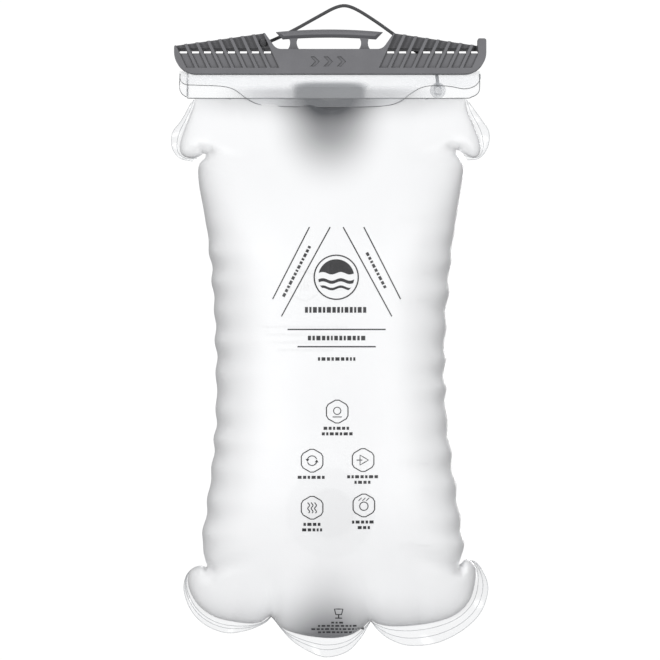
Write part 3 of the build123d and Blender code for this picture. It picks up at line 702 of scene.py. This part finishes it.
# Creases: where they start (x, z), the way they run in degrees, length, half width and depth.
CREASES = (
    (-66.0, -58.5, -12, 34, 2.6, 3.4), (66.0, -57.0, 192, 34, 2.6, 3.4),
    (-64.8, -277.5, 14, 30, 2.6, 3.4), (67.6, -276.0, 166, 30, 2.6, 3.4),
    (-31.0, -303.5, 84, 30, 2.8, 3.2), (21.2, -306.0, 100, 32, 2.6, 3.2),
    (-52.0, -30.0, -70, 34, 4.0, 1.2), (50.0, -30.0, -112, 36, 4.0, 1.2),
    (-22.0, -30.0, -80, 40, 5.0, 1.6), (20.0, -30.0, -100, 40, 5.0, 1.6), (0.0, -30.0, -90, 46, 6.0, 2.2),
    (-50.0, -305.0, 78, 26, 3.2, 1.6), (48.0, -306.0, 104, 26, 3.2, 1.6), (0.0, -313.0, 92, 42, 6.0, 2.4),
)


def port_middle():
    """Middle of the port as (x, z), in millimetres."""
    low, high = (np.array(corner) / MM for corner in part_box("port_housing"))
    return (low[[0, 2]] + high[[0, 2]]) / 2


def film_points(bag):
    """Points that carry the film: its edge, rings close inside it and an even inner grid."""
    outline = bag.outline
    ahead = np.roll(outline, -1, axis=0) - np.roll(outline, 1, axis=0)
    inward = np.stack([-ahead[:, 1], ahead[:, 0]], axis=1)
    inward /= np.linalg.norm(inward, axis=1)[:, None]
    rings = []
    for reach in (0.3, 1.0, 2.2, 4.0):
        ring = outline + inward * reach
        good = inside(outline, ring) & (distance_to(outline, ring) > 0.9 * reach)
        rings.append(ring[good])
    pitch = bag.settings.mesh_size / MM
    rows = np.arange(outline[:, 1].min(), outline[:, 1].max(), pitch * 0.866)
    columns = np.arange(outline[:, 0].min(), outline[:, 0].max(), pitch)
    grid = np.array([(x + (k % 2) * pitch / 2, z) for k, z in enumerate(rows) for x in columns])
    good = inside(outline, grid) & (distance_to(outline, grid) > 5.4)
    return outline, np.vstack([*rings, grid[good]])


def film_sheet(name, bag, points, faces, side):
    """One film of the bag: side -1 is the front, 1 the back."""
    depth = bag.half_depth(points) if side < 0 else bag.back_depth(points)
    verts = [(x * MM, side * d * MM, z * MM) for (x, z), d in zip(points, depth)]
    if side > 0:
        faces = [tuple(reversed(f)) for f in faces]
    return new_mesh(name, verts, faces)


def shared_bag(context):
    """The bag's shape, worked out once for all the pieces that lie on it."""
    if not hasattr(shared_bag, "bag"):
        shared_bag.bag = FilledBag(context.scene.bladder_film)
    return shared_bag.bag


def film_faces(edge, inner, hole=None):
    """Triangles over the film's points; hole is the middle and radius of a round opening."""
    if hole is not None:
        middle, radius = hole
        inner = inner[np.linalg.norm(inner - middle, axis=1) > radius + 0.8]
        turns = np.arange(60) * math.tau / 60
        inner = np.vstack([inner, middle + radius * np.stack([np.cos(turns), np.sin(turns)], axis=1)])
    given = [Vector(p) for p in np.vstack([edge, inner])]
    points, _, faces, *_ = delaunay_2d_cdt(given, [], [list(range(len(edge)))], 1, 1e-5)
    points = np.array([tuple(p) for p in points])
    if hole is not None:
        within = np.linalg.norm(points - middle, axis=1) < radius + 0.01
        faces = [f for f in faces if not all(within[k] for k in f)]
    first = points[list(faces[0])]
    if np.cross(first[1] - first[0], first[2] - first[0]) < 0:
        faces = [tuple(reversed(f)) for f in faces]
    return points, faces


def make_films(context):
    settings = context.scene.bladder_film
    bag = shared_bag(context)
    edge, inner = film_points(bag)
    front = film_sheet("film_front", bag, *film_faces(edge, inner), -1)
    back = film_sheet("film_back", bag, *film_faces(edge, inner, (port_middle(), PORT_HOLE)), 1)
    place(front, frosted_material("frosted film front", settings, settings.frost, 1.0))
    place(back, frosted_material("frosted film back", settings, settings.frost, 0.8))
    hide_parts("front_panel")
    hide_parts("back_panel")


# ------------------------------------------------------------------ welds
def weld_strip(name, inner, outer, curl, waves, rows=9):
    """A clear strip between two lines in millimetres, waving out of its plane."""
    count = max(len(inner), len(outer))
    at = np.linspace(0, 1, count)
    lines = [np.stack([np.interp(at, np.linspace(0, 1, len(line)), line[:, k]) for k in range(2)], axis=1)
             for line in (inner, outer)]
    verts = []
    for row in range(rows):
        t = row / (rows - 1)
        for k, (a, b) in enumerate(zip(*lines)):
            x, z = a + (b - a) * t
            y = t**1.4 * curl * math.sin(waves * math.pi * k / count + 0.6)
            y += 0.5 * t * math.sin(9.7 * k / count * waves + 1.0)
            ends = min(1, k / 6, (count - 1 - k) / 6)
            verts.append((x * MM, y * ends * MM, z * MM))
    return new_mesh(name, verts, grid_faces(rows, count)), verts, count


def edge_beads(name, verts, count, rows, radius=0.00018):
    """Fine raised lines along rows of a strip's grid: its cut edge and its weld lines."""
    beads = []
    for row in rows:
        path = verts[row * count:(row + 1) * count]
        beads.append(tube(name, path, radius, sides=6))
    return beads


# Ends of the side welds and how far they stand back, in millimetres.
SIDE_WELD_TOP = -64
SIDE_WELD_BOTTOM = -272
SIDE_WELD_WIDTH = 6.4


def side_flange(name, bag, side):
    """The weld beside the bag, standing straight back outside the film."""
    outline = bag.outline
    x, z = outline[:, 0], outline[:, 1]
    line = outline[(np.sign(x) == side) & (z < SIDE_WELD_TOP) & (z > SIDE_WELD_BOTTOM) & (np.abs(x) > 50)]
    line = line[np.argsort(-line[:, 1])]
    verts, rows = [], 7
    for row in range(rows):
        reach = SIDE_WELD_WIDTH * row / (rows - 1)
        for k, (x, z) in enumerate(line):
            ends = min(1, k / 8, (len(line) - 1 - k) / 8)
            verts.append(((x - side * 0.02 * reach) * MM, reach * (0.35 + 0.65 * ends) * MM, z * MM))
    return new_mesh(name, verts, grid_faces(rows, len(line))), verts, len(line)


def make_welds(context):
    settings = context.scene.bladder_film
    bag = shared_bag(context)
    clear = clear_material("clear weld", [c * 0.74 for c in settings.clear], 0.30, 0.78)
    line_material = clear_material("weld edge", [c * 0.60 for c in settings.clear], 0.34, 0.80, 0.2)
    lines = []
    parts = (
        ("weld_ear_left", LEFT_EAR[:7], CLEAR_LEFT_EAR, 1.6, 2.2, (3, 8)),
        ("weld_ear_right", RIGHT_EAR[:-8:-1], CLEAR_RIGHT_EAR, 1.6, 2.0, (3, 8)),
        ("weld_lobe_left", LEFT_CORNER[3:] + BOTTOM_MIDDLE[:1], CLEAR_LEFT_LOBE, 2.6, 2.6, (3, 5, 8)),
        ("weld_lobe_middle", BOTTOM_MIDDLE[:8], CLEAR_MIDDLE_LOBE, 3.0, 2.0, (3, 5, 8)),
        ("weld_lobe_right", BOTTOM_MIDDLE[7:] + RIGHT_CORNER[:7], CLEAR_RIGHT_LOBE, 3.0, 2.8, (2, 5, 8)),
    )
    for name, inner, outer, curl, waves, rows in parts:
        inner, outer = smooth_line(inner, 1.4), smooth_line(outer, 1.4)
        strip, verts, count = weld_strip(name, inner, outer, curl, waves)
        place(strip, clear)
        lines += edge_beads(name + "_line", verts, count, rows)
    for label, side in (("left", -1), ("right", 1)):
        strip, verts, count = side_flange("weld_side_" + label, bag, side)
        place(strip, clear)
        lines += edge_beads("weld_side_line", verts, count, (3, 6))
    place(join("weld_lines", lines), line_material)


# ------------------------------------------------------------------ collar
FLAP_TOP = -14.6
FLAP_LINE = (
    (-79.6, -16.0), (-79.4, -19.4), (-77.0, -21.6), (-72.0, -22.0), (-58.0, -22.6),
    (-51.0, -24.4), (-44.0, -29.4), (-38.0, -32.2), (-30.0, -33.2), (0.0, -33.6),
    (26.0, -33.3), (36.0, -31.2), (42.6, -26.6), (48.6, -23.2),
    (56.0, -22.2), (64.0, -22.8), (71.0, -24.0), (76.4, -22.6), (79.2, -19.4), (79.4, -16.0),
)
COLLAR_LINE = (
    (-79.6, -16.0), (-79.9, -22.0), (-79.0, -26.0), (-75.4, -28.4), (-68.0, -28.9), (0.0, -28.9),
    (66.0, -28.9), (74.4, -28.3), (78.4, -26.0), (79.2, -22.0), (78.9, -16.0),
)


# Painted shade on the collar's back sheet under the closure: middle, half size, share that is even, cover
# and colour.
PAINTED_THROAT_SHADE = (
    ((0, 0, -0.0285), (0.080, 1, 0.0085), 0.30, 0.66, (0.36, 0.365, 0.375)),
    ((-0.0004, 0, -0.0290), (0.0262, 1, 0.0112), 0.60, 0.94, (0.115, 0.118, 0.126)),
)


def hanging_sheet(name, line, place_of, top=FLAP_TOP, rows=11):
    """A sheet from a straight top to a shaped lower line; place_of gives y for (x, drop)."""
    lower = smooth_line(line, 1.3)
    verts = []
    for row in range(rows):
        t = row / (rows - 1)
        for x, z in lower:
            here = (x, top + (z - top) * t)
            verts.append((here[0] * MM, place_of(here[0], top - here[1]) * MM, here[1] * MM))
    return new_mesh(name, verts, grid_faces(rows, len(lower))), verts, len(lower)


def make_collar(context):
    settings = context.scene.bladder_film
    clear = clear_material("clear collar", settings.clear, 0.13, 0.70)
    line_material = clear_material("collar edge", [c * 0.30 for c in settings.clear], 0.62, 0.95, 0.25)

    def flap_y(x, drop):
        return -1.15 - 0.095 * drop - 0.25 * math.sin(x * 0.06 + 0.5) * min(1, drop / 8)

    def inner_flap_y(x, drop):
        return -0.85 - 0.05 * drop

    def front_y(x, drop):
        return -0.55 - 0.02 * drop

    def back_y(x, drop):
        return 0.45 + 0.02 * drop

    sheets = (
        ("collar_flap", FLAP_LINE, flap_y),
        ("collar_inner_flap", [(x * 0.992, max(z, -24.0) + 0.9) for x, z in FLAP_LINE], inner_flap_y),
        ("collar_front", COLLAR_LINE, front_y),
        ("collar_back", COLLAR_LINE, back_y),
    )
    lines = []
    throat_shade_material = clear_material("throat painted shade", settings.clear, 0.13, 0.70, painted_shade_blocks=PAINTED_THROAT_SHADE)
    for name, line, place_of in sheets:
        sheet, verts, count = hanging_sheet(name, line, place_of)
        place(sheet, throat_shade_material if name == "collar_back" else clear)
        if name != "collar_inner_flap":
            lines += edge_beads(name + "_line", verts, count, (10,), 0.00021)
    place(join("collar_lines", lines), line_material)
    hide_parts("back_mouth_lip")
    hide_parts("front_mouth_lip")


# ------------------------------------------------------------------ prints
class Artwork:
    """Flat marks in millimetres, kept as small faces that can follow the film."""

    def __init__(self):
        self.verts = []
        self.faces = []

    def strip(self, left, right):
        """Faces between two lines of points."""
        start = len(self.verts)
        self.verts += [*left, *right]
        count = len(left)
        firsts = range(start, start + count - 1)
        self.faces += [(k, k + 1, count + k + 1, count + k) for k in firsts]

    def stroke(self, points, width, closed=False):
        """A line of even width through the points."""
        line = [Vector(p) for p in points]
        if closed:
            line += line[:2]
        fine = [line[0]]
        for a, b in zip(line, line[1:]):
            steps = max(1, round((b - a).length / 2.5))
            fine += [a.lerp(b, (k + 1) / steps) for k in range(steps)]
        if closed:
            fine = fine[:-max(1, round((line[-1] - line[-2]).length / 2.5))]
        left, right = [], []
        for k, point in enumerate(fine):
            before = fine[k - 1] if k else (fine[-2] if closed else point)
            after = fine[k + 1] if k + 1 < len(fine) else (fine[1] if closed else point)
            ahead = (after - before).normalized()
            across = Vector((-ahead.y, ahead.x)) * width / 2
            left.append(tuple(point + across))
            right.append(tuple(point - across))
        self.strip(left, right)

    def arc(self, centre, radius, start, end, width, steps=18):
        points = [(centre[0] + radius * math.cos(math.radians(start + (end - start) * k / steps)),
                   centre[1] + radius * math.sin(math.radians(start + (end - start) * k / steps)))
                  for k in range(steps + 1)]
        self.stroke(points, width)

    def polygon(self, points):
        start = len(self.verts)
        self.verts += [tuple(p) for p in points]
        self.faces.append(tuple(range(start, start + len(points))))

    def hexagon(self, centre, radius, width):
        """Outline with pointed top and bottom and slightly cut corners."""
        points = []
        for k in range(6):
            for offset in (-9, 9):
                angle = math.radians(60 * k + 30 + offset)
                reach = radius * (0.955 if offset else 1)
                points.append((centre[0] + reach * math.cos(angle), centre[1] + reach * math.sin(angle)))
        self.stroke(points, width, closed=True)

    def dashes(self, centre, width, seed, stroke=0.75, slope=0.0):
        """A row of short bars in place of a line of small print; slope is in degrees."""
        along = (math.cos(math.radians(slope)), math.sin(math.radians(slope)))
        at = -width / 2
        k = seed
        while at < width / 2 - 0.6:
            end = min(at + 1.0 + 1.3 * ((k * 37) % 10) / 10, width / 2)
            self.stroke([(centre[0] + along[0] * t, centre[1] + along[1] * t) for t in (at, end)], stroke)
            at = end + 0.75
            k += 1

    def number(self, text, corner, height):
        """Digits from the built-in font, their lower left at the corner."""
        curve = bpy.data.curves.new("digits", "FONT")
        curve.body = text
        curve.size = height / 0.7
        holder = bpy.data.objects.new("digits", curve)
        mesh = bpy.data.meshes.new_from_object(holder)
        start = len(self.verts)
        self.verts += [(corner[0] + v.co.x, corner[1] + v.co.y) for v in mesh.vertices]
        self.faces += [tuple(start + i for i in f.vertices) for f in mesh.polygons]
        bpy.data.objects.remove(holder)
        bpy.data.meshes.remove(mesh)
        bpy.data.curves.remove(curve)

    def build(self, name, bag, side, lift):
        """The marks laid on the front (-1) or back (1) film; the back ones read from behind."""
        points = np.array([(side * -x if side > 0 else x, z) for x, z in self.verts])
        depth = (bag.half_depth(points) if side < 0 else bag.back_depth(points)) + lift
        verts = [(x * MM, side * d * MM, z * MM) for (x, z), d in zip(points, depth)]
        return new_mesh(name, verts, self.faces)


def front_artwork():
    """Plain trail sign, care symbols and small print on the front."""
    art = Artwork()
    middle = 3.3
    for side in (-1, 1):
        art.stroke([(middle + side * 14.2, -98.0), (middle + side * 33.4, -135.6)], 0.62)
        art.stroke([(middle + side * 3.4, -98.0), (middle + side * 28.8, -144.6)], 0.62)
    art.stroke([(middle - 25.6, -151.4), (middle + 25.6, -151.4)], 0.72)
    art.stroke([(middle - 20.4, -160.4), (middle + 20.4, -160.4)], 0.72)
    sun(art, (middle - 0.2, -124.2), 9.4)
    art.dashes((middle - 20.6, -120.6), 31.0, 4, 1.5, slope=62.3)
    art.dashes((middle + 20.6, -120.6), 21.0, 1, 1.5, slope=-62.3)
    art.dashes((middle, -141.2), 33.0, 2, 3.0)
    art.dashes((middle, -155.9), 30.0, 5, 2.4)
    art.dashes((middle, -166.8), 19.5, 3, 1.8)
    icons = ((3.6, -194.2), (-9.5, -219.8), (17.1, -219.5), (-9.5, -244.4), (17.5, -243.2))
    for centre in icons:
        art.hexagon(centre, 6.3, 0.55)
    level_icon(art, icons[0])
    turn_icon(art, icons[1])
    arrow_icon(art, icons[2])
    heat_icon(art, icons[3])
    rack_icon(art, icons[4])
    captions = ((14.2, 16.0), (15.0,), (16.6, 9.0), (9.0, 10.4), (12.3, 6.4))
    for (x, z), widths, seed in zip(icons, captions, (1, 4, 2, 6, 3)):
        for row, width in enumerate(widths):
            art.dashes((x, z - 8.7 - 2.9 * row), width, seed + row, 1.6)
    cup_icon(art, (4.4, -301.0))
    for row, width in enumerate((7.0, 21.0, 28.0, 21.0)):
        art.dashes((4.0, -305.9 - 1.8 * row), width, 2 + row, 1.0)
    return art


def sun(art, centre, radius):
    """A solid disc cut by three wavy gaps."""
    steps = 28
    levels = (1.0, 0.22, -0.12, -0.30, -0.52, -0.66, -1.0)
    for upper, lower in zip(levels[::2], levels[1::2]):
        rows = max(1, round((upper - lower) * radius / 1.2))
        lines = [[] for _ in range(rows + 1)]
        for k in range(steps + 1):
            x = -math.cos(math.pi * k / steps)
            rim = math.sqrt(max(0.0, 1 - x * x))
            wave = 0.07 * math.sin(x * 2 * math.pi)
            high = rim if upper == 1.0 else max(-rim, min(rim, upper + wave))
            deep = -rim if lower == -1.0 else max(-rim, min(rim, lower + wave))
            deep = min(high, deep)
            for row, line in enumerate(lines):
                level = high + (deep - high) * row / rows
                line.append((centre[0] + radius * x, centre[1] + radius * level))
        for above, below in zip(lines, lines[1:]):
            art.strip(above, below)
    art.arc(centre, radius + 2.1, 0, 360, 0.7, 40)


def level_icon(art, centre):
    x, z = centre
    art.arc((x, z + 0.4), 1.9, 0, 360, 0.45)
    art.stroke([(x - 2.4, z - 2.8), (x + 2.4, z - 2.8)], 0.5)


def turn_icon(art, centre):
    x, z = centre
    art.arc(centre, 2.5, 20, 160, 0.5)
    art.arc(centre, 2.5, 200, 340, 0.5)
    art.polygon([(x - 3.4, z + 0.9), (x - 1.4, z + 0.9), (x - 2.4, z - 0.6)])
    art.polygon([(x + 1.4, z - 0.9), (x + 3.4, z - 0.9), (x + 2.4, z + 0.6)])


def arrow_icon(art, centre):
    x, z = centre
    art.stroke([(x - 1.6, z + 2.6), (x + 2.8, z), (x - 1.6, z - 2.6)], 0.5, closed=True)
    art.stroke([(x - 3.4, z), (x - 0.4, z)], 0.5)


def heat_icon(art, centre):
    x, z = centre
    for shift in (-1.8, 0.0, 1.8):
        art.stroke([(x + shift + 0.5 * math.sin(k * 0.9), z - 2.8 + 5.6 * k / 12) for k in range(13)], 0.5)


def rack_icon(art, centre):
    x, z = centre
    art.arc((x, z - 0.4), 2.2, 0, 360, 0.5)
    for shift in (-2.0, 0.0, 2.0):
        art.stroke([(x + shift - 0.8, z + 2.4), (x + shift + 0.8, z + 4.0)], 0.4)


def cup_icon(art, centre):
    x, z = centre
    bowl = [(x - 2.2, z + 2.6), (x - 1.5, z - 0.4), (x + 1.5, z - 0.4), (x + 2.2, z + 2.6)]
    art.stroke(bowl, 0.6, closed=True)
    art.stroke([(x, z - 0.4), (x, z - 2.2)], 0.6)
    art.stroke([(x - 1.8, z - 2.4), (x + 1.8, z - 2.4)], 0.6)


def back_artwork():
    """Volume scale on the back, read from behind."""
    art = Artwork()
    marks = 13
    for k in range(marks):
        z = -92.0 - 14.6 * k
        major = k % 3 == 0
        art.stroke([(-53.5, z), (-53.5 + (7.5 if major else 4.5), z)], 0.9 if major else 0.7)
        if major:
            art.number(f"{2.0 - 0.5 * k / 3:.1f}", (-44.5, z - 2.0), 4.2)
    for row in range(4):
        art.dashes((14.0, -150.0 - 4.2 * row), 46.0 - 5 * row, 3 + row, 1.4)
    art.hexagon((14.0, -128.0), 8.4, 0.7)
    heat_icon(art, (14.0, -128.0))
    return art


def make_prints(context):
    settings = context.scene.bladder_film
    bag = shared_bag(context)
    front = front_artwork().build("print_front", bag, -1, 0.14)
    scale = back_artwork()
    back = join("print_back", [scale.build("print_back_face", bag, 1, lift) for lift in (0.14, -0.14)])
    place(front, ink_material("print ink", settings.ink, 0.97))
    place(back, ink_material("print ink back", [0.10 + c for c in settings.ink], 0.72))


# ------------------------------------------------------------------ closure, tether and port
def paint(material, *nodes):
    """Gives CAD nodes a material."""
    for node in nodes:
        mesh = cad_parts[node].data
        mesh.materials.clear()
        mesh.materials.append(material)


def make_closure(context):
    settings = context.scene.bladder_hardware
    paint(moulded_material("closure moulding", settings.moulding, 0.46), "slide_closure", "hanger_handle")
    film = context.scene.bladder_film
    paint(clear_material("fold rail", film.clear, 0.35, 0.8, 0.2), "fold_rail")
    paint(clear_material("anchor patch", [c * 0.72 for c in film.clear], 0.34, 0.72, 0.35), "tether_anchor")


def make_tether(context):
    settings = context.scene.bladder_hardware
    curve = bpy.data.curves.new("tether_route", "CURVE")
    curve.dimensions = "3D"
    curve.resolution_u = 24
    spline = curve.splines.new("NURBS")
    spline.points.add(len(TETHER_ROUTE) - 1)
    for point, place_of in zip(spline.points, TETHER_ROUTE):
        point.co = (*place_of, 1.0)
    spline.order_u = 3
    spline.use_endpoint_u = True
    holder = bpy.data.objects.new("tether_route", curve)
    line = bpy.data.meshes.new_from_object(holder)
    path = [tuple(v.co) for v in line.vertices]
    bpy.data.objects.remove(holder)
    bpy.data.meshes.remove(line)
    bpy.data.curves.remove(curve)
    cord = tube("tether", path, settings.cord_diameter / 2, sides=16)
    material = cord_material(settings)
    cord.data.materials.append(material)
    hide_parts("tether_cord")
    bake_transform(cord)
    paint(material, "tether_knot")


def spring_coil(node, axis, steel):
    """A copy of the part's own coil in spring wire, in place of the hidden part."""
    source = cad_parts[node]
    mesh = source.data.copy()
    mesh.transform(source.matrix_world)
    mesh.materials.clear()
    mesh.materials.append(steel)
    coil = bpy.data.objects.new(node + "_coil", mesh)
    bpy.context.scene.collection.objects.link(coil)
    low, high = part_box(node)
    foot = [(a + b) / 2 for a, b in zip(low, high)]
    tip = list(foot)
    foot[axis], tip[axis] = low[axis], high[axis]
    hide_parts(node)
    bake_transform(coil)


def make_port(context):
    settings = context.scene.bladder_hardware
    film = context.scene.bladder_film
    port = moulded_material("port moulding", settings.port, 0.38, 0.0008, 0.0004)
    paint(port, "port_housing", "retaining_ring", "latch_plate", "poppet", "poppet_guide")
    flange = moulded_material("port flange", [c * 0.75 for c in film.colour], 0.35, 0.0008, 0.0004)
    paint(flange, "port_flange")
    button = moulded_material("button moulding", settings.button, 0.30, 0.0008, 0.0005)
    paint(button, "release_button")
    rubber = moulded_material("seal rubber", (0.16, 0.17, 0.18), 0.6, 0.0006, 0.0003)
    paint(rubber, "housing_gasket", "poppet_seal")
    steel = steel_material()
    spring_coil("poppet_spring", 1, steel)
    spring_coil("button_spring", 2, steel)


# ------------------------------------------------------------------ stage
def stage_camera(settings):
    camera_data = bpy.data.cameras.new("camera")
    camera = bpy.data.objects.new("camera", camera_data)
    bpy.context.scene.collection.objects.link(camera)
    camera.location = (-0.00016, -settings.distance, settings.view_height)
    camera.rotation_euler = (math.pi / 2, 0, 0)
    camera_data.sensor_width = 36.0
    camera_data.lens = camera_data.sensor_width * settings.distance / settings.view_width
    camera_data.clip_start = 0.05
    camera_data.clip_end = 20
    bpy.context.scene.camera = camera


def stage_light(name, strength, angle, direction):
    """A sun that shines along a direction; angle is its softness in degrees."""
    data = bpy.data.lights.new(name, "SUN")
    data.energy = strength
    data.angle = math.radians(angle)
    lamp = bpy.data.objects.new(name, data)
    bpy.context.scene.collection.objects.link(lamp)
    lamp.rotation_euler = Vector(direction).to_track_quat("-Z", "Y").to_euler()


def stage_world(settings):
    """White to the eye; for light, bright in front and behind and darker at the sides."""
    world = bpy.data.worlds.new("studio")
    bpy.context.scene.world = world
    world.use_nodes = True
    tree = world.node_tree
    tree.nodes.clear()
    place_node = tree.nodes.new("ShaderNodeTexCoord")
    split = tree.nodes.new("ShaderNodeSeparateXYZ")
    link(tree, place_node.outputs["Generated"], split.inputs[0])
    facing = math_node(tree, "ABSOLUTE", split.outputs["Y"])
    up = math_node(tree, "MULTIPLY", math_node(tree, "MAXIMUM", split.outputs["Z"], 0.0), 0.8)
    glow = math_node(tree, "MAXIMUM", facing, up)
    strength = map_range(tree, glow, 0.25, 1.0, settings.ambient * 0.35, settings.ambient * 2.4)
    around = tree.nodes.new("ShaderNodeBackground")
    set_inputs(around, Color=(1, 1, 1, 1))
    link(tree, strength, around.inputs["Strength"])
    seen = tree.nodes.new("ShaderNodeBackground")
    set_inputs(seen, Color=(1, 1, 1, 1), Strength=1.04)
    path = tree.nodes.new("ShaderNodeLightPath")
    mix = tree.nodes.new("ShaderNodeMixShader")
    output = tree.nodes.new("ShaderNodeOutputWorld")
    link(tree, path.outputs["Is Camera Ray"], mix.inputs[0])
    link(tree, around.outputs[0], mix.inputs[1])
    link(tree, seen.outputs[0], mix.inputs[2])
    link(tree, mix.outputs[0], output.inputs[0])


def stage_floor():
    """Small pale floor under the bag that fades out towards its rim."""
    steps, radius = 64, 0.17
    height = CAD_BOX[0][2] - 0.012
    turns = [2 * math.pi * k / steps for k in range(steps)]
    verts = [(0, 0, height)] + [(radius * math.cos(a), radius * math.sin(a), height) for a in turns]
    faces = [(0, k + 1, (k + 1) % steps + 1) for k in range(steps)]
    floor = new_mesh("floor", verts, faces)
    material, tree, shader = new_material("pale floor")
    set_inputs(shader, Base_Color=(0.86, 0.86, 0.87, 1), Roughness=0.7)
    patch = use_group(tree, patch_group(), Middle=(0, 0, height), Half_Size=(radius, radius, radius))
    link(tree, patch.outputs[0], shader.inputs["Alpha"])
    floor.data.materials.append(material)


def make_stage(context):
    settings = context.scene.bladder_stage
    context.scene.view_settings.view_transform = "Standard"
    stage_camera(settings)
    for side, share in ((-1, 0.53), (1, 0.47)):
        stage_light("front light", settings.front_light * share, 22, (-side * 0.60, 1.0, -0.10))
    stage_light("top light", settings.top_light, 30, (0.1, 0.25, -1.0))
    stage_light("back light", settings.back_light, 30, (-0.25, -1.0, -0.25))
    stage_world(settings)
    stage_floor()


# ------------------------------------------------------------------ add-on
class BLADDER_OT_stage(bpy.types.Operator):
    """Makes the camera, the lights and the floor."""
    bl_idname = "bladder.stage"
    bl_label = "Stage"
    bl_options = {"REGISTER", "UNDO"}

    def execute(self, context):
        make_stage(context)
        return {"FINISHED"}


class BLADDER_OT_tether(bpy.types.Operator):
    """Makes the cord that runs from the closure to the collar."""
    bl_idname = "bladder.tether"
    bl_label = "Tether"
    bl_options = {"REGISTER", "UNDO"}

    def execute(self, context):
        make_tether(context)
        return {"FINISHED"}


class BLADDER_OT_films(bpy.types.Operator):
    """Makes the front and the back frosted film."""
    bl_idname = "bladder.films"
    bl_label = "Films"
    bl_options = {"REGISTER", "UNDO"}

    def execute(self, context):
        make_films(context)
        return {"FINISHED"}


class BLADDER_OT_welds(bpy.types.Operator):
    """Makes the clear welds round the bag."""
    bl_idname = "bladder.welds"
    bl_label = "Welds"
    bl_options = {"REGISTER", "UNDO"}

    def execute(self, context):
        make_welds(context)
        return {"FINISHED"}


class BLADDER_OT_collar(bpy.types.Operator):
    """Makes the clear collar and its folded flap."""
    bl_idname = "bladder.collar"
    bl_label = "Collar"
    bl_options = {"REGISTER", "UNDO"}

    def execute(self, context):
        make_collar(context)
        return {"FINISHED"}


class BLADDER_OT_prints(bpy.types.Operator):
    """Makes the marks on the front and the scale on the back."""
    bl_idname = "bladder.prints"
    bl_label = "Prints"
    bl_options = {"REGISTER", "UNDO"}

    def execute(self, context):
        make_prints(context)
        return {"FINISHED"}


class BLADDER_OT_closure(bpy.types.Operator):
    """Finishes the slide closure, its handle and the rail in the fold."""
    bl_idname = "bladder.closure"
    bl_label = "Closure"
    bl_options = {"REGISTER", "UNDO"}

    def execute(self, context):
        make_closure(context)
        return {"FINISHED"}


class BLADDER_OT_port(bpy.types.Operator):
    """Finishes the tube port on the back."""
    bl_idname = "bladder.port"
    bl_label = "Port"
    bl_options = {"REGISTER", "UNDO"}

    def execute(self, context):
        make_port(context)
        return {"FINISHED"}


OPERATORS = (
    BLADDER_OT_stage,
    BLADDER_OT_tether,
    BLADDER_OT_films,
    BLADDER_OT_welds,
    BLADDER_OT_collar,
    BLADDER_OT_prints,
    BLADDER_OT_closure,
    BLADDER_OT_port,
)


class BLADDER_PT_panel(bpy.types.Panel):
    """Lists the bladder's settings and builders."""
    bl_label = "Hydration Bladder"
    bl_idname = "BLADDER_PT_panel"
    bl_space_type = "VIEW_3D"
    bl_region_type = "UI"
    bl_category = "Bladder"

    def draw(self, context):
        for label, _ in SETTINGS:
            group = getattr(context.scene, label)
            box = self.layout.box()
            for name in group.__annotations__:
                box.prop(group, name)
        for operator in OPERATORS:
            self.layout.operator(operator.bl_idname)


SETTINGS = (
    ("bladder_film", FilmSettings),
    ("bladder_hardware", HardwareSettings),
    ("bladder_stage", StageSettings),
)


def register():
    for name, group in SETTINGS:
        bpy.utils.register_class(group)
        setattr(bpy.types.Scene, name, bpy.props.PointerProperty(type=group))
    for operator in OPERATORS:
        bpy.utils.register_class(operator)
    bpy.utils.register_class(BLADDER_PT_panel)


def unregister():
    bpy.utils.unregister_class(BLADDER_PT_panel)
    for operator in reversed(OPERATORS):
        bpy.utils.unregister_class(operator)
    for name, group in reversed(SETTINGS):
        delattr(bpy.types.Scene, name)
        bpy.utils.unregister_class(group)


def main():
    register()
    for operator in OPERATORS:
        getattr(bpy.ops.bladder, operator.bl_idname.split(".")[1])()


if __name__ == "__main__":
    main()
